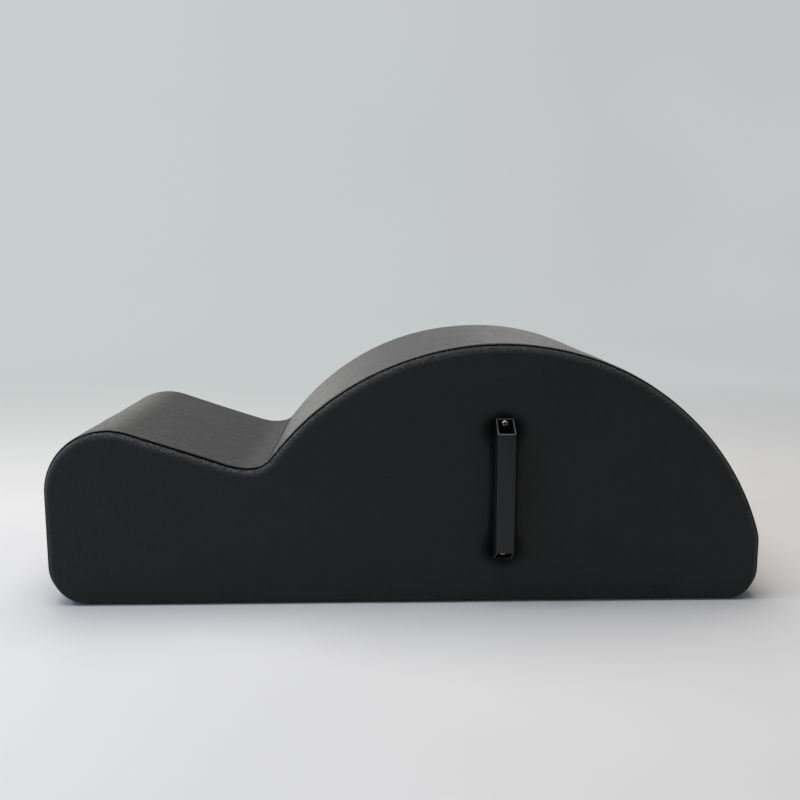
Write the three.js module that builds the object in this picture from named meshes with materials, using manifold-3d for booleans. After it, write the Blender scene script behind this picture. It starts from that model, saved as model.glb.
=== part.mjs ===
// Spine corrector: an upholstered arc barrel with a low step, 1 m long.
// A plywood frame carries bent plywood skins, foam pads and sewn covers, with a tube handle screwed on each side.
// Millimetres. X runs along the length (step at -X, barrel at +X), Y across, Z up.
// The origin is the middle of the footprint, on the floor.
import * as THREE from "three";
import { mergeVertices } from "three/addons/utils/BufferGeometryUtils.js";
import Module from "manifold-3d";

const wasm = await Module();
wasm.setup();

// Overall sizes
const LENGTH = 1000;
const WIDTH = 400; // over the padded sides, without the handles
const BARREL_HEIGHT = 364;
const STEP_HEIGHT = 247;

// Side outline, as arcs that run into each other from the low end to the high end
const HEEL_RADIUS = 51; // lower corner of the low end
const HUMP_RADIUS = 90; // rolled top of the low end
const STEP_SLOPE = THREE.MathUtils.degToRad(18.2);
const STEP_LENGTH = 305; // from the low end to the crease
const VALLEY_RADIUS = 74;
const VALLEY_LIFT = 15; // of the crease above the line of the slope
const CROWN_SHARE = 0.469; // where the top of the dome lies, along the barrel from the crease
const SHOULDER_ANGLE = THREE.MathUtils.degToRad(70); // of the point where the dome runs into the shoulder
const END_RADIUS = 60;
const END_STRAIGHT = 38; // upright part of the high end
const TOE_RADIUS = 40; // lower corner of the high end
const CHORD = 0.35; // how far a facet may lie inside a curve
const COINCIDENT = 0.001;

// Layers, from the outside in
const FIT = 0.3; // gap between pieces that touch
const SKIN = 1.4; // cover material
const PAD = 30; // foam over the step and the barrel
const BENT_PLY = 4;
const BASE_CLOTH = 1.2;
const TURN_UNDER = 30; // cover material folded under the base

// Seams
const THREAD_RADIUS = 0.6;
const THREAD_SIDES = 8;
const SIDE_CROWN = 10; // how far the side panels stand proud of the seam
const SIDE_ROLL = 14; // width of the rolled edge of a side panel
const SEAM_DEPTH = 4;
const BAND_ROLL = 6;
const CREASE_DEPTH = 3;
const CREASE_ROLL = 8;
const ROLL_STEPS = 3;
const BASE_TUCK_SHARE = 0.3; // rolled edges are this much tighter along the base

// Frame
const SIDE_BOARD = 15;
const MIDDLE_RIB = 12;
const BASE_BOARD = 12;
const BOARD_SETBACK = 2.6; // outer face of a side board behind its seam
const BATTEN_WIDTH = 40;
const BATTEN_DEPTH = 22;
const STEP_BATTEN_SHARES = [0.07, 0.62]; // of the way over the step to the crease
const BARREL_BATTEN_SHARES = [0.1, 0.26, 0.42, 0.58, 0.74, 0.89]; // of the way from the crease down the high end
const VALLEY_BLOCK_WIDTH = 70;
const VALLEY_BLOCK_DEPTH = 30;

// Round openings in the middle rib: the place along the step or the barrel, the height in the clear
// height under the battens, and the radius, as shares of the step's or the barrel's length
const STEP_HOLE_SHARES = [[0.46, 0.48, 0.14]];
const BARREL_HOLE_SHARES = [
  [0.165, 0.42, 0.083],
  [0.46, 0.48, 0.115],
  [0.76, 0.44, 0.07],
];
const RIB_HOLE_SIDES = 24;

// Wood screws that hold the boards on the base board
const WOOD_SCREW_RADIUS = 2;
const WOOD_SCREW_HEAD = 4; // radius of its head
const WOOD_SCREW_RIM = 0.4; // height of the straight edge of its head
const WOOD_SCREW_LENGTH = 40;
const WOOD_SCREW_TIP = 5;
const WOOD_SCREW_SIDES = 8;
const WOOD_SCREW_PLACE_SHARES = [-0.36, 0.36];

// Handles
const HANDLE_PAST_CROWN = 3;
const HANDLE_HEIGHT_SHARE = 0.445; // height of its middle, of the barrel's
const HANDLE_BACK = 200; // length of the wall that lies against the panel
const HANDLE_FACE = 164; // length of the outer wall
const HANDLE_WIDTH = 25;
const HANDLE_DEPTH = 28;
const HANDLE_WALL = 2;
const HANDLE_CORNER = 2;
const HANDLE_INNER_CORNER = 0.5;
const HANDLE_CORNER_STEPS = 3;
const BED_DEPTH = 3; // how far the handle is pulled into the padding
const BED_FLOOR_MARGIN = 3;
const BED_SLOPE_DEPTH = 1;
const BED_SLOPE_MARGIN = 10;
const BED_MARGIN = 20;
const BED_ARC_STEPS = 8;

// Handle screws and T-nuts
const SCREW_SPACING = 181;
const SCREW_LIFT = 2.5; // of the pair's middle, above the handle's
const SCREW_RADIUS = 2.5;
const SCREW_HEAD_RADIUS = 4.4;
const SCREW_HEAD_HEIGHT = 3;
const PAN_HEAD_SHARES = [
  [1, 0.45],
  [0.86, 0.78],
  [0.55, 1],
]; // of the head's radius and height
const SCREW_PAST_NUT = 3;
const SCREW_SIDES = 16;
const CROSS_SPAN = 4.8;
const CROSS_SLOT = 1.1;
const CROSS_DEPTH = 1.7;
const NUT_FLANGE_RADIUS = 10;
const NUT_FLANGE = 1.5;
const NUT_BARREL_RADIUS = 3.8;
const NUT_BARREL = 10;
const NUT_SIDES = 12;
const PRONG_COUNT = 4;
const PRONG_RADIUS = 8;
const PRONG_WIDTH = 3;
const PRONG_THICKNESS = 1;
const PRONG_LENGTH = 6;

const OVERRUN = 5; // how far a cut runs past the faces it cuts

// Values worked out from the ones above
const BASE_LINE = BASE_CLOTH + FIT; // underside of the covers
const SEAM_HALF = WIDTH / 2 - SIDE_CROWN; // seams lie this far from the middle
const THREAD_GAP = THREAD_RADIUS + FIT;
const BAND_HALF = SEAM_HALF - THREAD_GAP;
const PANEL_START = SEAM_HALF + THREAD_GAP;
const BOARD_OUT = SEAM_HALF - BOARD_SETBACK;
const BOARD_IN = BOARD_OUT - SIDE_BOARD;
const PAD_OUT = SKIN + FIT;
const PAD_IN = PAD_OUT + PAD;
const PLY_OUT = PAD_IN + FIT;
const PLY_IN = PLY_OUT + BENT_PLY;
const FRAME_INSET = PLY_IN + FIT;
const BASE_BOARD_LOW = BASE_LINE + PAD_OUT;
const BASE_BOARD_TOP = BASE_BOARD_LOW + BASE_BOARD;
const FRAME_LOW = BASE_BOARD_TOP + FIT;
const HEEL_X = -LENGTH / 2 + HEEL_RADIUS;
const TOE_X = LENGTH / 2 - TOE_RADIUS;
const CREASE_X = -LENGTH / 2 + STEP_LENGTH;
const BARREL_LENGTH = LENGTH - STEP_LENGTH;
const CROWN_X = CREASE_X + CROWN_SHARE * BARREL_LENGTH;
const HANDLE_X = CROWN_X + HANDLE_PAST_CROWN;
const HANDLE_HEIGHT = HANDLE_HEIGHT_SHARE * BARREL_HEIGHT;
const BED_OUT = WIDTH / 2 - BED_DEPTH;
const HANDLE_SEAT = BED_OUT + FIT;

// Materials
const material = (color, roughness, metalness = 0) => ({ color, roughness, metalness });
const COVER = material(0x17181a, 0.55);
const THREAD = material(0x0c0c0d, 0.8);
const CLOTH = material(0x1d1d1e, 0.95);
const FOAM = material(0xd9cfa8, 0.95);
const WOOD = material(0xc79a64, 0.8);
const BLACK_STEEL = material(0x1a1c1f, 0.45, 0.3);
const ZINC = material(0xc4c6c8, 0.3, 1);

const root = new THREE.Group();

function addNode(name, geometry, look) {
  const mesh = new THREE.Mesh(geometry, new THREE.MeshStandardMaterial(look));
  mesh.name = name;
  root.add(mesh);
}

// Solids: geometry with outward faces to and from the boolean library
function toSolid(geometry) {
  const bare = geometry.clone();
  bare.deleteAttribute("normal");
  bare.deleteAttribute("uv");
  const merged = mergeVertices(bare, COINCIDENT);
  const mesh = { numProp: 3, vertProperties: merged.attributes.position.array };
  mesh.triVerts = new Uint32Array(merged.index.array);
  const solid = new wasm.Manifold(new wasm.Mesh(mesh));
  if (solid.volume() > 0) return solid;
  for (let i = 0; i < mesh.triVerts.length; i += 3) {
    mesh.triVerts.subarray(i, i + 3).reverse();
  }
  return new wasm.Manifold(new wasm.Mesh(mesh));
}

function toGeometry(solid) {
  const mesh = solid.getMesh();
  const geometry = new THREE.BufferGeometry();
  geometry.setAttribute("position", new THREE.BufferAttribute(mesh.vertProperties, mesh.numProp));
  geometry.setIndex(new THREE.BufferAttribute(mesh.triVerts, 1));
  geometry.computeVertexNormals();
  return geometry;
}

// The outline of the side, from under the low end over the top to under the high end.
// Each sample holds a point and the outward vector that moves it one unit out of the part:
// the normal, longer at a corner, where it lies between the normals of the two sides.
function makeOutline() {
  const samples = [];

  function addSample(point, normal) {
    const last = samples.at(-1);
    if (!last || last.point.distanceTo(point) > COINCIDENT) {
      samples.push({ point, out: normal, tuck: 1, dip: 0 });
      return;
    }
    const half = last.out.angleTo(normal) / 2;
    last.out = last.out.clone().add(normal).setLength(1 / Math.cos(half));
  }

  // A hollow arc turns anticlockwise and its normals point to its centre.
  function addArc(centre, radius, from, to) {
    const step = 2 * Math.acos(1 - CHORD / radius);
    const count = Math.max(2, Math.ceil(Math.abs(to - from) / step));
    const facing = to > from ? -1 : 1;
    for (let i = 0; i <= count; i++) {
      const angle = THREE.MathUtils.lerp(from, to, i / count);
      const out = new THREE.Vector2(Math.cos(angle), Math.sin(angle));
      addSample(centre.clone().addScaledVector(out, radius), out.multiplyScalar(facing));
    }
  }

  const heel = new THREE.Vector2(HEEL_X, BASE_LINE + HEEL_RADIUS);
  addArc(heel, HEEL_RADIUS, -Math.PI / 2, -Math.PI);
  const marks = { heelTop: samples.length - 1 };

  const slopeAngle = Math.PI / 2 - STEP_SLOPE;
  const hump = new THREE.Vector2(-LENGTH / 2 + HUMP_RADIUS, STEP_HEIGHT - HUMP_RADIUS);
  addArc(hump, HUMP_RADIUS, Math.PI, slopeAngle);

  // The valley arc leaves the slope as a tangent and ends at the crease, raised from the slope's line.
  const { valley, crease } = placeValley(hump, slopeAngle);
  addArc(valley, VALLEY_RADIUS, slopeAngle + Math.PI, crease.clone().sub(valley).angle());
  marks.crease = samples.length - 1;

  // The dome runs from the crease over the crown, the shoulder from the dome to the end arc.
  const crown = new THREE.Vector2(CROWN_X, BARREL_HEIGHT);
  const rise = crown.y - crease.y;
  const domeRadius = ((crown.x - crease.x) ** 2 + rise ** 2) / (2 * rise);
  const dome = new THREE.Vector2(crown.x, crown.y - domeRadius);
  addArc(dome, domeRadius, crease.clone().sub(dome).angle(), SHOULDER_ANGLE);
  const toe = new THREE.Vector2(TOE_X, BASE_LINE + TOE_RADIUS);
  const end = new THREE.Vector2(LENGTH / 2 - END_RADIUS, toe.y + END_STRAIGHT);
  const { centre, radius } = arcBetween(dome, domeRadius, SHOULDER_ANGLE, end, END_RADIUS);
  const endAngle = end.clone().sub(centre).angle();
  addArc(centre, radius, SHOULDER_ANGLE, endAngle);
  addArc(end, END_RADIUS, endAngle, 0);
  marks.toeTop = samples.length;
  addArc(toe, TOE_RADIUS, 0, -Math.PI / 2);

  addTucks(samples);
  return { samples, marks };
}

// The centre of the valley arc and the crease, where the arc has climbed its lift off the slope
function placeValley(hump, slopeAngle) {
  const out = new THREE.Vector2(Math.cos(slopeAngle), Math.sin(slopeAngle));
  const along = new THREE.Vector2(out.y, -out.x);
  const turn = Math.acos(1 - VALLEY_LIFT / VALLEY_RADIUS);
  const crease = hump.clone().addScaledVector(out, HUMP_RADIUS + VALLEY_LIFT);
  crease.addScaledVector(along, (CREASE_X - crease.x) / along.x);
  const valley = crease.clone().addScaledVector(out, VALLEY_RADIUS - VALLEY_LIFT);
  valley.addScaledVector(along, -VALLEY_RADIUS * Math.sin(turn));
  return { valley, crease };
}

// The arc that leaves one circle as a tangent at an angle and touches another circle inside
function arcBetween(first, firstRadius, angle, second, secondRadius) {
  const out = new THREE.Vector2(Math.cos(angle), Math.sin(angle));
  const offset = second.clone().sub(first);
  const reach = firstRadius - secondRadius;
  const shift = (reach ** 2 - offset.lengthSq()) / (2 * (reach - out.dot(offset)));
  return { centre: first.clone().addScaledVector(out, shift), radius: firstRadius - shift };
}

// Rolled edges are full where the outline faces sideways or up, and tighten under the base.
function addTucks(samples) {
  for (const sample of samples) {
    sample.tuck = THREE.MathUtils.lerp(1, BASE_TUCK_SHARE, Math.max(0, -sample.out.y));
  }
}

const { samples: OUTLINE, marks: MARKS } = makeOutline();

function insetPoint(sample, inset) {
  return sample.point.clone().addScaledVector(sample.out, -inset);
}

function between(before, after, share) {
  const point = before.point.clone().lerp(after.point, share);
  return { ...after, point, out: before.out.clone().lerp(after.out, share) };
}

// Samples for the end of a cover or pad that rolls down into the crease, from the crease outwards
function creaseEnd(side) {
  const crease = OUTLINE[MARKS.crease];
  const next = OUTLINE[MARKS.crease + side];
  const spacing = crease.point.distanceTo(next.point);
  const end = [];
  for (let i = 0; i <= ROLL_STEPS; i++) {
    const turn = (i / ROLL_STEPS) * (Math.PI / 2);
    const distance = THREAD_GAP + CREASE_ROLL * (1 - Math.cos(turn));
    const dip = CREASE_DEPTH * (1 - Math.sin(turn));
    end.push({ ...between(crease, next, distance / spacing), dip });
  }
  return end;
}

// The stretch of outline over the step, and the one over the barrel, each ending in the crease
const STEP_PATH = [...OUTLINE.slice(0, MARKS.crease), ...creaseEnd(-1).reverse()];
const BARREL_PATH = [...creaseEnd(1), ...OUTLINE.slice(MARKS.crease + 1)];

// A sample of the fold under the base, nearer the middle than the given end of the outline
function foldSample(neighbour) {
  const sample = { ...neighbour, point: neighbour.point.clone() };
  sample.point.x -= Math.sign(sample.point.x) * TURN_UNDER;
  return sample;
}

// Joins equal rings of points into one closed solid; the first and last rings are capped.
function loft(rings, flatRing) {
  const size = flatRing.length;
  const index = [];
  for (let i = 0; i + 1 < rings.length; i++) {
    for (let j = 0; j < size; j++) {
      const a = i * size + j;
      const b = i * size + ((j + 1) % size);
      index.push(a, b, a + size, b, b + size, a + size);
    }
  }
  const last = (rings.length - 1) * size;
  for (const face of THREE.ShapeUtils.triangulateShape(flatRing, [])) {
    const [a, b, c] = THREE.ShapeUtils.isClockWise(flatRing) ? face.reverse() : face;
    index.push(a, c, b, last + a, last + b, last + c);
  }
  const geometry = new THREE.BufferGeometry().setFromPoints(rings.flat());
  geometry.setIndex(index);
  return toSolid(geometry);
}

// A layer that follows the outline: section(sample) lists its [across, inset] points.
function bandSolid(path, section) {
  const rings = path.map((sample) =>
    section(sample).map(([across, inset]) => {
      const point = insetPoint(sample, inset);
      return new THREE.Vector3(point.x, across, point.y);
    }),
  );
  const flat = section(path[0]).map(([across, inset]) => new THREE.Vector2(across, inset));
  return loft(rings, flat);
}

// Left and right halves of a section that is the same on both sides
function mirrored(half) {
  const other = half.map(([across, inset]) => [-across, inset]).reverse();
  return [...half, ...other];
}

// Cover band: flat across, with both edges rolled down into the seams
function coverSection(sample) {
  const outer = [];
  const inner = [];
  const depth = SEAM_DEPTH * sample.tuck;
  for (let i = 0; i <= ROLL_STEPS; i++) {
    const turn = (i / ROLL_STEPS) * (Math.PI / 2);
    const flat = BAND_HALF - BAND_ROLL;
    const rise = (depth - sample.dip) * Math.cos(turn);
    outer.push([flat + BAND_ROLL * Math.sin(turn), depth - rise]);
    inner.push([flat + (BAND_ROLL - SKIN) * Math.sin(turn), depth - rise + SKIN * Math.cos(turn)]);
  }
  return mirrored([...outer, ...inner.reverse()]);
}

function padSection(sample) {
  const shoulder = BAND_HALF - BAND_ROLL;
  return mirrored([
    [shoulder, PAD_OUT + sample.dip],
    [BOARD_OUT - FIT, PAD_OUT + SEAM_DEPTH * sample.tuck],
    [BOARD_OUT - FIT, PAD_IN],
  ]);
}

function plySection() {
  return mirrored([
    [BOARD_OUT, PLY_OUT],
    [BOARD_OUT, PLY_IN],
  ]);
}

function makeCovers() {
  const heelFold = foldSample(OUTLINE[0]);
  const toeFold = foldSample(OUTLINE.at(-1));
  addNode("step_cover", toGeometry(bandSolid([heelFold, ...STEP_PATH], coverSection)), COVER);
  addNode("barrel_cover", toGeometry(bandSolid([...BARREL_PATH, toeFold], coverSection)), COVER);
}

function makePads() {
  addNode("step_pad", toGeometry(bandSolid(STEP_PATH, padSection)), FOAM);
  addNode("barrel_pad", toGeometry(bandSolid(BARREL_PATH, padSection)), FOAM);
}

// The bent plywood stops above the lower corners.
function makePlySkins() {
  const stepPath = STEP_PATH.slice(MARKS.heelTop);
  const barrelPath = BARREL_PATH.slice(0, BARREL_PATH.indexOf(OUTLINE[MARKS.toeTop]) + 1);
  addNode("step_skin", toGeometry(bandSolid(stepPath, plySection)), WOOD);
  addNode("barrel_skin", toGeometry(bandSolid(barrelPath, plySection)), WOOD);
}

// A thin thread along a seam: a square section that follows the outline beside the cover's edge
function seamThread(side) {
  const section = (sample) => [
    [side * SEAM_HALF - THREAD_RADIUS, SEAM_DEPTH * sample.tuck],
    [side * SEAM_HALF, SEAM_DEPTH * sample.tuck - THREAD_RADIUS],
    [side * SEAM_HALF + THREAD_RADIUS, SEAM_DEPTH * sample.tuck],
    [side * SEAM_HALF, SEAM_DEPTH * sample.tuck + THREAD_RADIUS],
  ];
  return bandSolid(OUTLINE, section);
}

function creaseThread() {
  const crease = insetPoint(OUTLINE[MARKS.crease], CREASE_DEPTH);
  const rod = new THREE.CylinderGeometry(THREAD_RADIUS, THREAD_RADIUS, 2 * BAND_HALF, THREAD_SIDES);
  return rod.translate(crease.x, 0, crease.y);
}

// Side panel: rings of the outline, each further in and further out, and a flat face.
// The layer's outer surface lies `under` below the cover's face; `back` is the plane that it starts from.
function panelSolid(side, under, back) {
  const rings = [];
  const edge = (sample) => SEAM_DEPTH * sample.tuck + under;
  const addRing = (out, inset) => {
    rings.push(
      OUTLINE.map((sample) => {
        const point = insetPoint(sample, inset(sample));
        return new THREE.Vector3(point.x, side * out, point.y);
      }),
    );
  };
  if (back < PANEL_START) addRing(back, edge);
  const crown = WIDTH / 2 - PANEL_START - under;
  for (let i = 0; i <= ROLL_STEPS; i++) {
    const turn = (i / ROLL_STEPS) * (Math.PI / 2);
    const roll = (sample) => (SIDE_ROLL * sample.tuck - under) * (1 - Math.cos(turn));
    addRing(PANEL_START + crown * Math.sin(turn), (sample) => edge(sample) + roll(sample));
  }
  const flat = OUTLINE.map((sample) => insetPoint(sample, edge(sample)));
  return loft(rings, flat);
}

// A ring round the handle, at a distance from its foot's sides, and a distance out from the middle
function bedRing(side, margin, out) {
  const radius = HANDLE_WIDTH / 2 + margin;
  const straight = (HANDLE_BACK - HANDLE_WIDTH) / 2;
  const ring = [];
  for (const end of [1, -1]) {
    for (let i = 0; i <= BED_ARC_STEPS; i++) {
      const angle = (end > 0 ? 0 : Math.PI) + (i / BED_ARC_STEPS) * Math.PI;
      const x = HANDLE_X + radius * Math.cos(angle);
      ring.push(new THREE.Vector3(x, side * out, HANDLE_HEIGHT + end * straight + radius * Math.sin(angle)));
    }
  }
  return ring;
}

// The pressed bed under a handle, cut from a layer whose face lies `under` below the cover's
function bedTool(side, under) {
  const face = WIDTH / 2 - under;
  const rings = [
    bedRing(side, BED_MARGIN, face + OVERRUN),
    bedRing(side, BED_MARGIN, face),
    bedRing(side, BED_SLOPE_MARGIN, face - BED_SLOPE_DEPTH),
    bedRing(side, BED_FLOOR_MARGIN, face - BED_DEPTH),
  ];
  const flat = rings[0].map((point) => new THREE.Vector2(point.x, point.z));
  return loft(rings, flat);
}

// Height of a handle's upper screw, end 1, or its lower one, end -1
function screwHeight(end) {
  return HANDLE_HEIGHT + SCREW_LIFT + (end * SCREW_SPACING) / 2;
}

// Round bars across the part, at both screws of a handle, from one distance out to another
function screwBores(side, radius, from, to) {
  const bores = [1, -1].map((end) => {
    const bar = new THREE.CylinderGeometry(radius, radius, to - from, SCREW_SIDES);
    const height = screwHeight(end);
    return toSolid(bar.translate(HANDLE_X, (side * (from + to)) / 2, height));
  });
  return bores[0].add(bores[1]);
}

function panelLayer(side, under, back) {
  const bores = screwBores(side, SCREW_RADIUS + FIT, back - OVERRUN, WIDTH / 2 + OVERRUN);
  return panelSolid(side, under, back).subtract(bedTool(side, under)).subtract(bores);
}

function makePanel(side, name) {
  const outer = panelLayer(side, 0, PANEL_START);
  const inner = panelSolid(side, SKIN, PANEL_START - OVERRUN).subtract(bedTool(side, SKIN));
  addNode("side_cover_" + name, toGeometry(outer.subtract(inner)), COVER);
  addNode("side_pad_" + name, toGeometry(panelLayer(side, PAD_OUT, BOARD_OUT + FIT)), FOAM);
  addNode("seam_thread_" + name, toGeometry(seamThread(side)), THREAD);
}

// Boards of the frame: the outline inside all the layers, standing on the base board.
// At the lower corners, where the bent plywood has stopped, they reach out to the foam.
function frameSlab(from, to) {
  const edge = OUTLINE.map((sample, i) => {
    const skinned = i >= MARKS.heelTop && i <= MARKS.toeTop;
    return insetPoint(sample, skinned ? FRAME_INSET : PLY_OUT);
  });
  const foot = (x) => [new THREE.Vector2(x, FRAME_LOW), new THREE.Vector2(x, BASE_LINE + PLY_OUT)];
  const shape = new THREE.Shape([...foot(HEEL_X + FIT), ...edge.slice(1, -1), ...foot(TOE_X - FIT).reverse()]);
  const slab = new THREE.ExtrudeGeometry(shape, { depth: to - from, bevelEnabled: false });
  slab.rotateX(Math.PI / 2);
  return toSolid(slab.translate(0, to, 0));
}

// The sample at a share of the way along the outline between two marks
function sampleAt(first, last, share) {
  const lengths = [0];
  for (let i = first + 1; i <= last; i++) {
    lengths.push(lengths.at(-1) + OUTLINE[i].point.distanceTo(OUTLINE[i - 1].point));
  }
  const goal = share * lengths.at(-1);
  const i = lengths.findIndex((length) => length >= goal);
  const local = (goal - lengths[i - 1]) / (lengths[i] - lengths[i - 1]);
  return between(OUTLINE[first + i - 1], OUTLINE[first + i], local);
}

// A bar across the whole frame that stands out of it, `grow` larger all round
function crossBar({ sample, width, depth }, grow) {
  const centre = insetPoint(sample, FRAME_INSET + depth / 2);
  const box = new THREE.BoxGeometry(width + 2 * grow, 2 * BOARD_IN, depth + 2 * (OVERRUN + grow));
  const angle = Math.PI / 2 - sample.out.angle();
  box.translate(0, 0, OVERRUN).rotateY(angle).translate(centre.x, 0, centre.y);
  return toSolid(box);
}

function planCrossBars() {
  const places = [
    ...STEP_BATTEN_SHARES.map((share) => sampleAt(MARKS.heelTop, MARKS.crease, share)),
    ...BARREL_BATTEN_SHARES.map((share) => sampleAt(MARKS.crease, MARKS.toeTop, share)),
  ];
  const bars = places.map((sample, i) => {
    return { name: "cross_batten_" + (i + 1), sample, width: BATTEN_WIDTH, depth: BATTEN_DEPTH };
  });
  const block = { sample: OUTLINE[MARKS.crease], width: VALLEY_BLOCK_WIDTH, depth: VALLEY_BLOCK_DEPTH };
  return [...bars, { name: "valley_block", ...block }];
}

// Height of the frame's top edge at a place along the length
function frameTop(x) {
  const top = OUTLINE.map((sample) => insetPoint(sample, FRAME_INSET));
  const i = top.findIndex((point, j) => j > MARKS.heelTop && point.x >= x);
  const share = (x - top[i - 1].x) / (top[i].x - top[i - 1].x);
  return THREE.MathUtils.lerp(top[i - 1].y, top[i].y, share);
}

// Round openings in the rib, in a stretch that starts at one place and has a length
function ribHoles(shares, start, length) {
  return shares.map(([along, up, size]) => {
    const x = start + along * length;
    const height = THREE.MathUtils.lerp(FRAME_LOW, frameTop(x) - BATTEN_DEPTH, up);
    const bar = new THREE.CylinderGeometry(size * length, size * length, MIDDLE_RIB + OVERRUN, RIB_HOLE_SIDES);
    return toSolid(bar.translate(x, 0, height));
  });
}

// Battens and valley block between the side boards, their outer faces planed to the curve,
// and the middle rib, notched for them and lightened by round openings
function makeInnerFrame(pilots) {
  const bars = planCrossBars();
  const inside = frameSlab(-BOARD_IN + FIT, BOARD_IN - FIT);
  for (const bar of bars) {
    addNode(bar.name, toGeometry(crossBar(bar, 0).intersect(inside)), WOOD);
  }
  const cuts = [
    pilots,
    ...bars.map((bar) => crossBar(bar, FIT)),
    ...ribHoles(STEP_HOLE_SHARES, -LENGTH / 2, STEP_LENGTH),
    ...ribHoles(BARREL_HOLE_SHARES, CREASE_X, BARREL_LENGTH),
  ];
  const rib = frameSlab(-MIDDLE_RIB / 2, MIDDLE_RIB / 2);
  addNode("middle_rib", toGeometry(cuts.reduce((left, cut) => left.subtract(cut), rib)), WOOD);
}

function makeFrame() {
  const pilots = woodScrews(FIT, FIT + OVERRUN).reduce((all, one) => all.add(one));
  makeInnerFrame(pilots);
  for (const [side, name] of SIDES) {
    const board = side > 0 ? frameSlab(BOARD_IN, BOARD_OUT) : frameSlab(-BOARD_OUT, -BOARD_IN);
    addNode("side_board_" + name, toGeometry(board.subtract(pilots).subtract(nutPockets(side))), WOOD);
  }
  const base = new THREE.BoxGeometry(TOE_X - HEEL_X - 2 * FIT, 2 * BOARD_OUT, BASE_BOARD);
  base.translate((TOE_X + HEEL_X) / 2, 0, (BASE_BOARD_LOW + BASE_BOARD_TOP) / 2);
  addNode("base_board", toGeometry(toSolid(base).subtract(pilots)), WOOD);
  woodScrews(0, 0).forEach((screw, i) => addNode("wood_screw_" + (i + 1), toGeometry(screw), ZINC));
}

// Countersunk screws up through the base board into the two side boards and the middle rib,
// `grow` larger all round and running on `below` their heads for the holes
function woodScrews(grow, below) {
  const radius = WOOD_SCREW_RADIUS + grow;
  const head = WOOD_SCREW_HEAD + grow;
  const points = [
    [0, -below],
    [head, -below],
    [head, WOOD_SCREW_RIM],
    [radius, WOOD_SCREW_RIM + head - radius],
    [radius, WOOD_SCREW_LENGTH - WOOD_SCREW_TIP],
    [0, WOOD_SCREW_LENGTH + grow],
  ].map(([r, h]) => new THREE.Vector2(r, h));
  const screw = new THREE.LatheGeometry(points, WOOD_SCREW_SIDES).rotateX(Math.PI / 2);
  const middle = (BOARD_OUT + BOARD_IN) / 2;
  return WOOD_SCREW_PLACE_SHARES.flatMap((share) =>
    [-middle, 0, middle].map((across) =>
      toSolid(screw.clone().translate(share * LENGTH, across, BASE_BOARD_LOW + FIT)),
    ),
  );
}

function makeBaseCloth() {
  const cloth = new THREE.BoxGeometry(TOE_X - HEEL_X, 2 * BOARD_OUT, BASE_CLOTH);
  addNode("base_cloth", cloth.translate((TOE_X + HEEL_X) / 2, 0, BASE_CLOTH / 2), CLOTH);
}

// Handle: a rectangular tube with rounded corners, both ends cut back from the wall to the face
function tubeSection(width, depth, corner) {
  const shape = new THREE.Shape();
  const [x, y] = [width / 2 - corner, depth / 2 - corner];
  shape.absarc(x, y, corner, 0, Math.PI / 2);
  shape.absarc(-x, y, corner, Math.PI / 2, Math.PI);
  shape.absarc(-x, -y, corner, Math.PI, 1.5 * Math.PI);
  shape.absarc(x, -y, corner, 1.5 * Math.PI, 2 * Math.PI);
  return shape;
}

function handleBar(shape, length) {
  const options = { depth: length, bevelEnabled: false, curveSegments: HANDLE_CORNER_STEPS };
  return toSolid(new THREE.ExtrudeGeometry(shape, options).translate(0, 0, -length / 2));
}

// The space past a sloped end, seen from the side: a wedge from the back edge to the shorter face.
// It is drawn with its first axis running out from the panel and its second along the handle.
function endCut(end) {
  const shape = new THREE.Shape();
  const slope = (HANDLE_BACK - HANDLE_FACE) / 2 / HANDLE_DEPTH;
  const low = HANDLE_BACK / 2 + slope * OVERRUN;
  const high = HANDLE_FACE / 2 - slope * OVERRUN;
  shape.moveTo(-HANDLE_DEPTH / 2 - OVERRUN, low);
  shape.lineTo(HANDLE_DEPTH / 2 + OVERRUN, high);
  shape.lineTo(HANDLE_DEPTH / 2 + OVERRUN, low + OVERRUN);
  shape.lineTo(-HANDLE_DEPTH / 2 - OVERRUN, low + OVERRUN);
  const wedge = new THREE.ExtrudeGeometry(shape, { depth: HANDLE_WIDTH + 2 * OVERRUN, bevelEnabled: false });
  wedge.translate(0, 0, -HANDLE_WIDTH / 2 - OVERRUN);
  wedge.rotateY(Math.PI / 2).rotateX(Math.PI / 2);
  if (end < 0) wedge.scale(1, 1, -1);
  return toSolid(wedge);
}

function makeHandle(side, name) {
  const outside = handleBar(tubeSection(HANDLE_WIDTH, HANDLE_DEPTH, HANDLE_CORNER), HANDLE_BACK);
  const [width, depth] = [HANDLE_WIDTH - 2 * HANDLE_WALL, HANDLE_DEPTH - 2 * HANDLE_WALL];
  const inside = handleBar(tubeSection(width, depth, HANDLE_INNER_CORNER), HANDLE_BACK + OVERRUN);
  const tube = outside.subtract(inside).subtract(endCut(1)).subtract(endCut(-1));
  const geometry = toGeometry(tube);
  if (side < 0) geometry.rotateZ(Math.PI);
  const placed = geometry.translate(HANDLE_X, side * (HANDLE_SEAT + HANDLE_DEPTH / 2), HANDLE_HEIGHT);
  const bores = screwBores(side, SCREW_RADIUS + FIT, BED_OUT - OVERRUN, HANDLE_SEAT + HANDLE_WALL + OVERRUN);
  addNode("handle_" + name, toGeometry(toSolid(placed).subtract(bores)), BLACK_STEEL);
}

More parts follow.
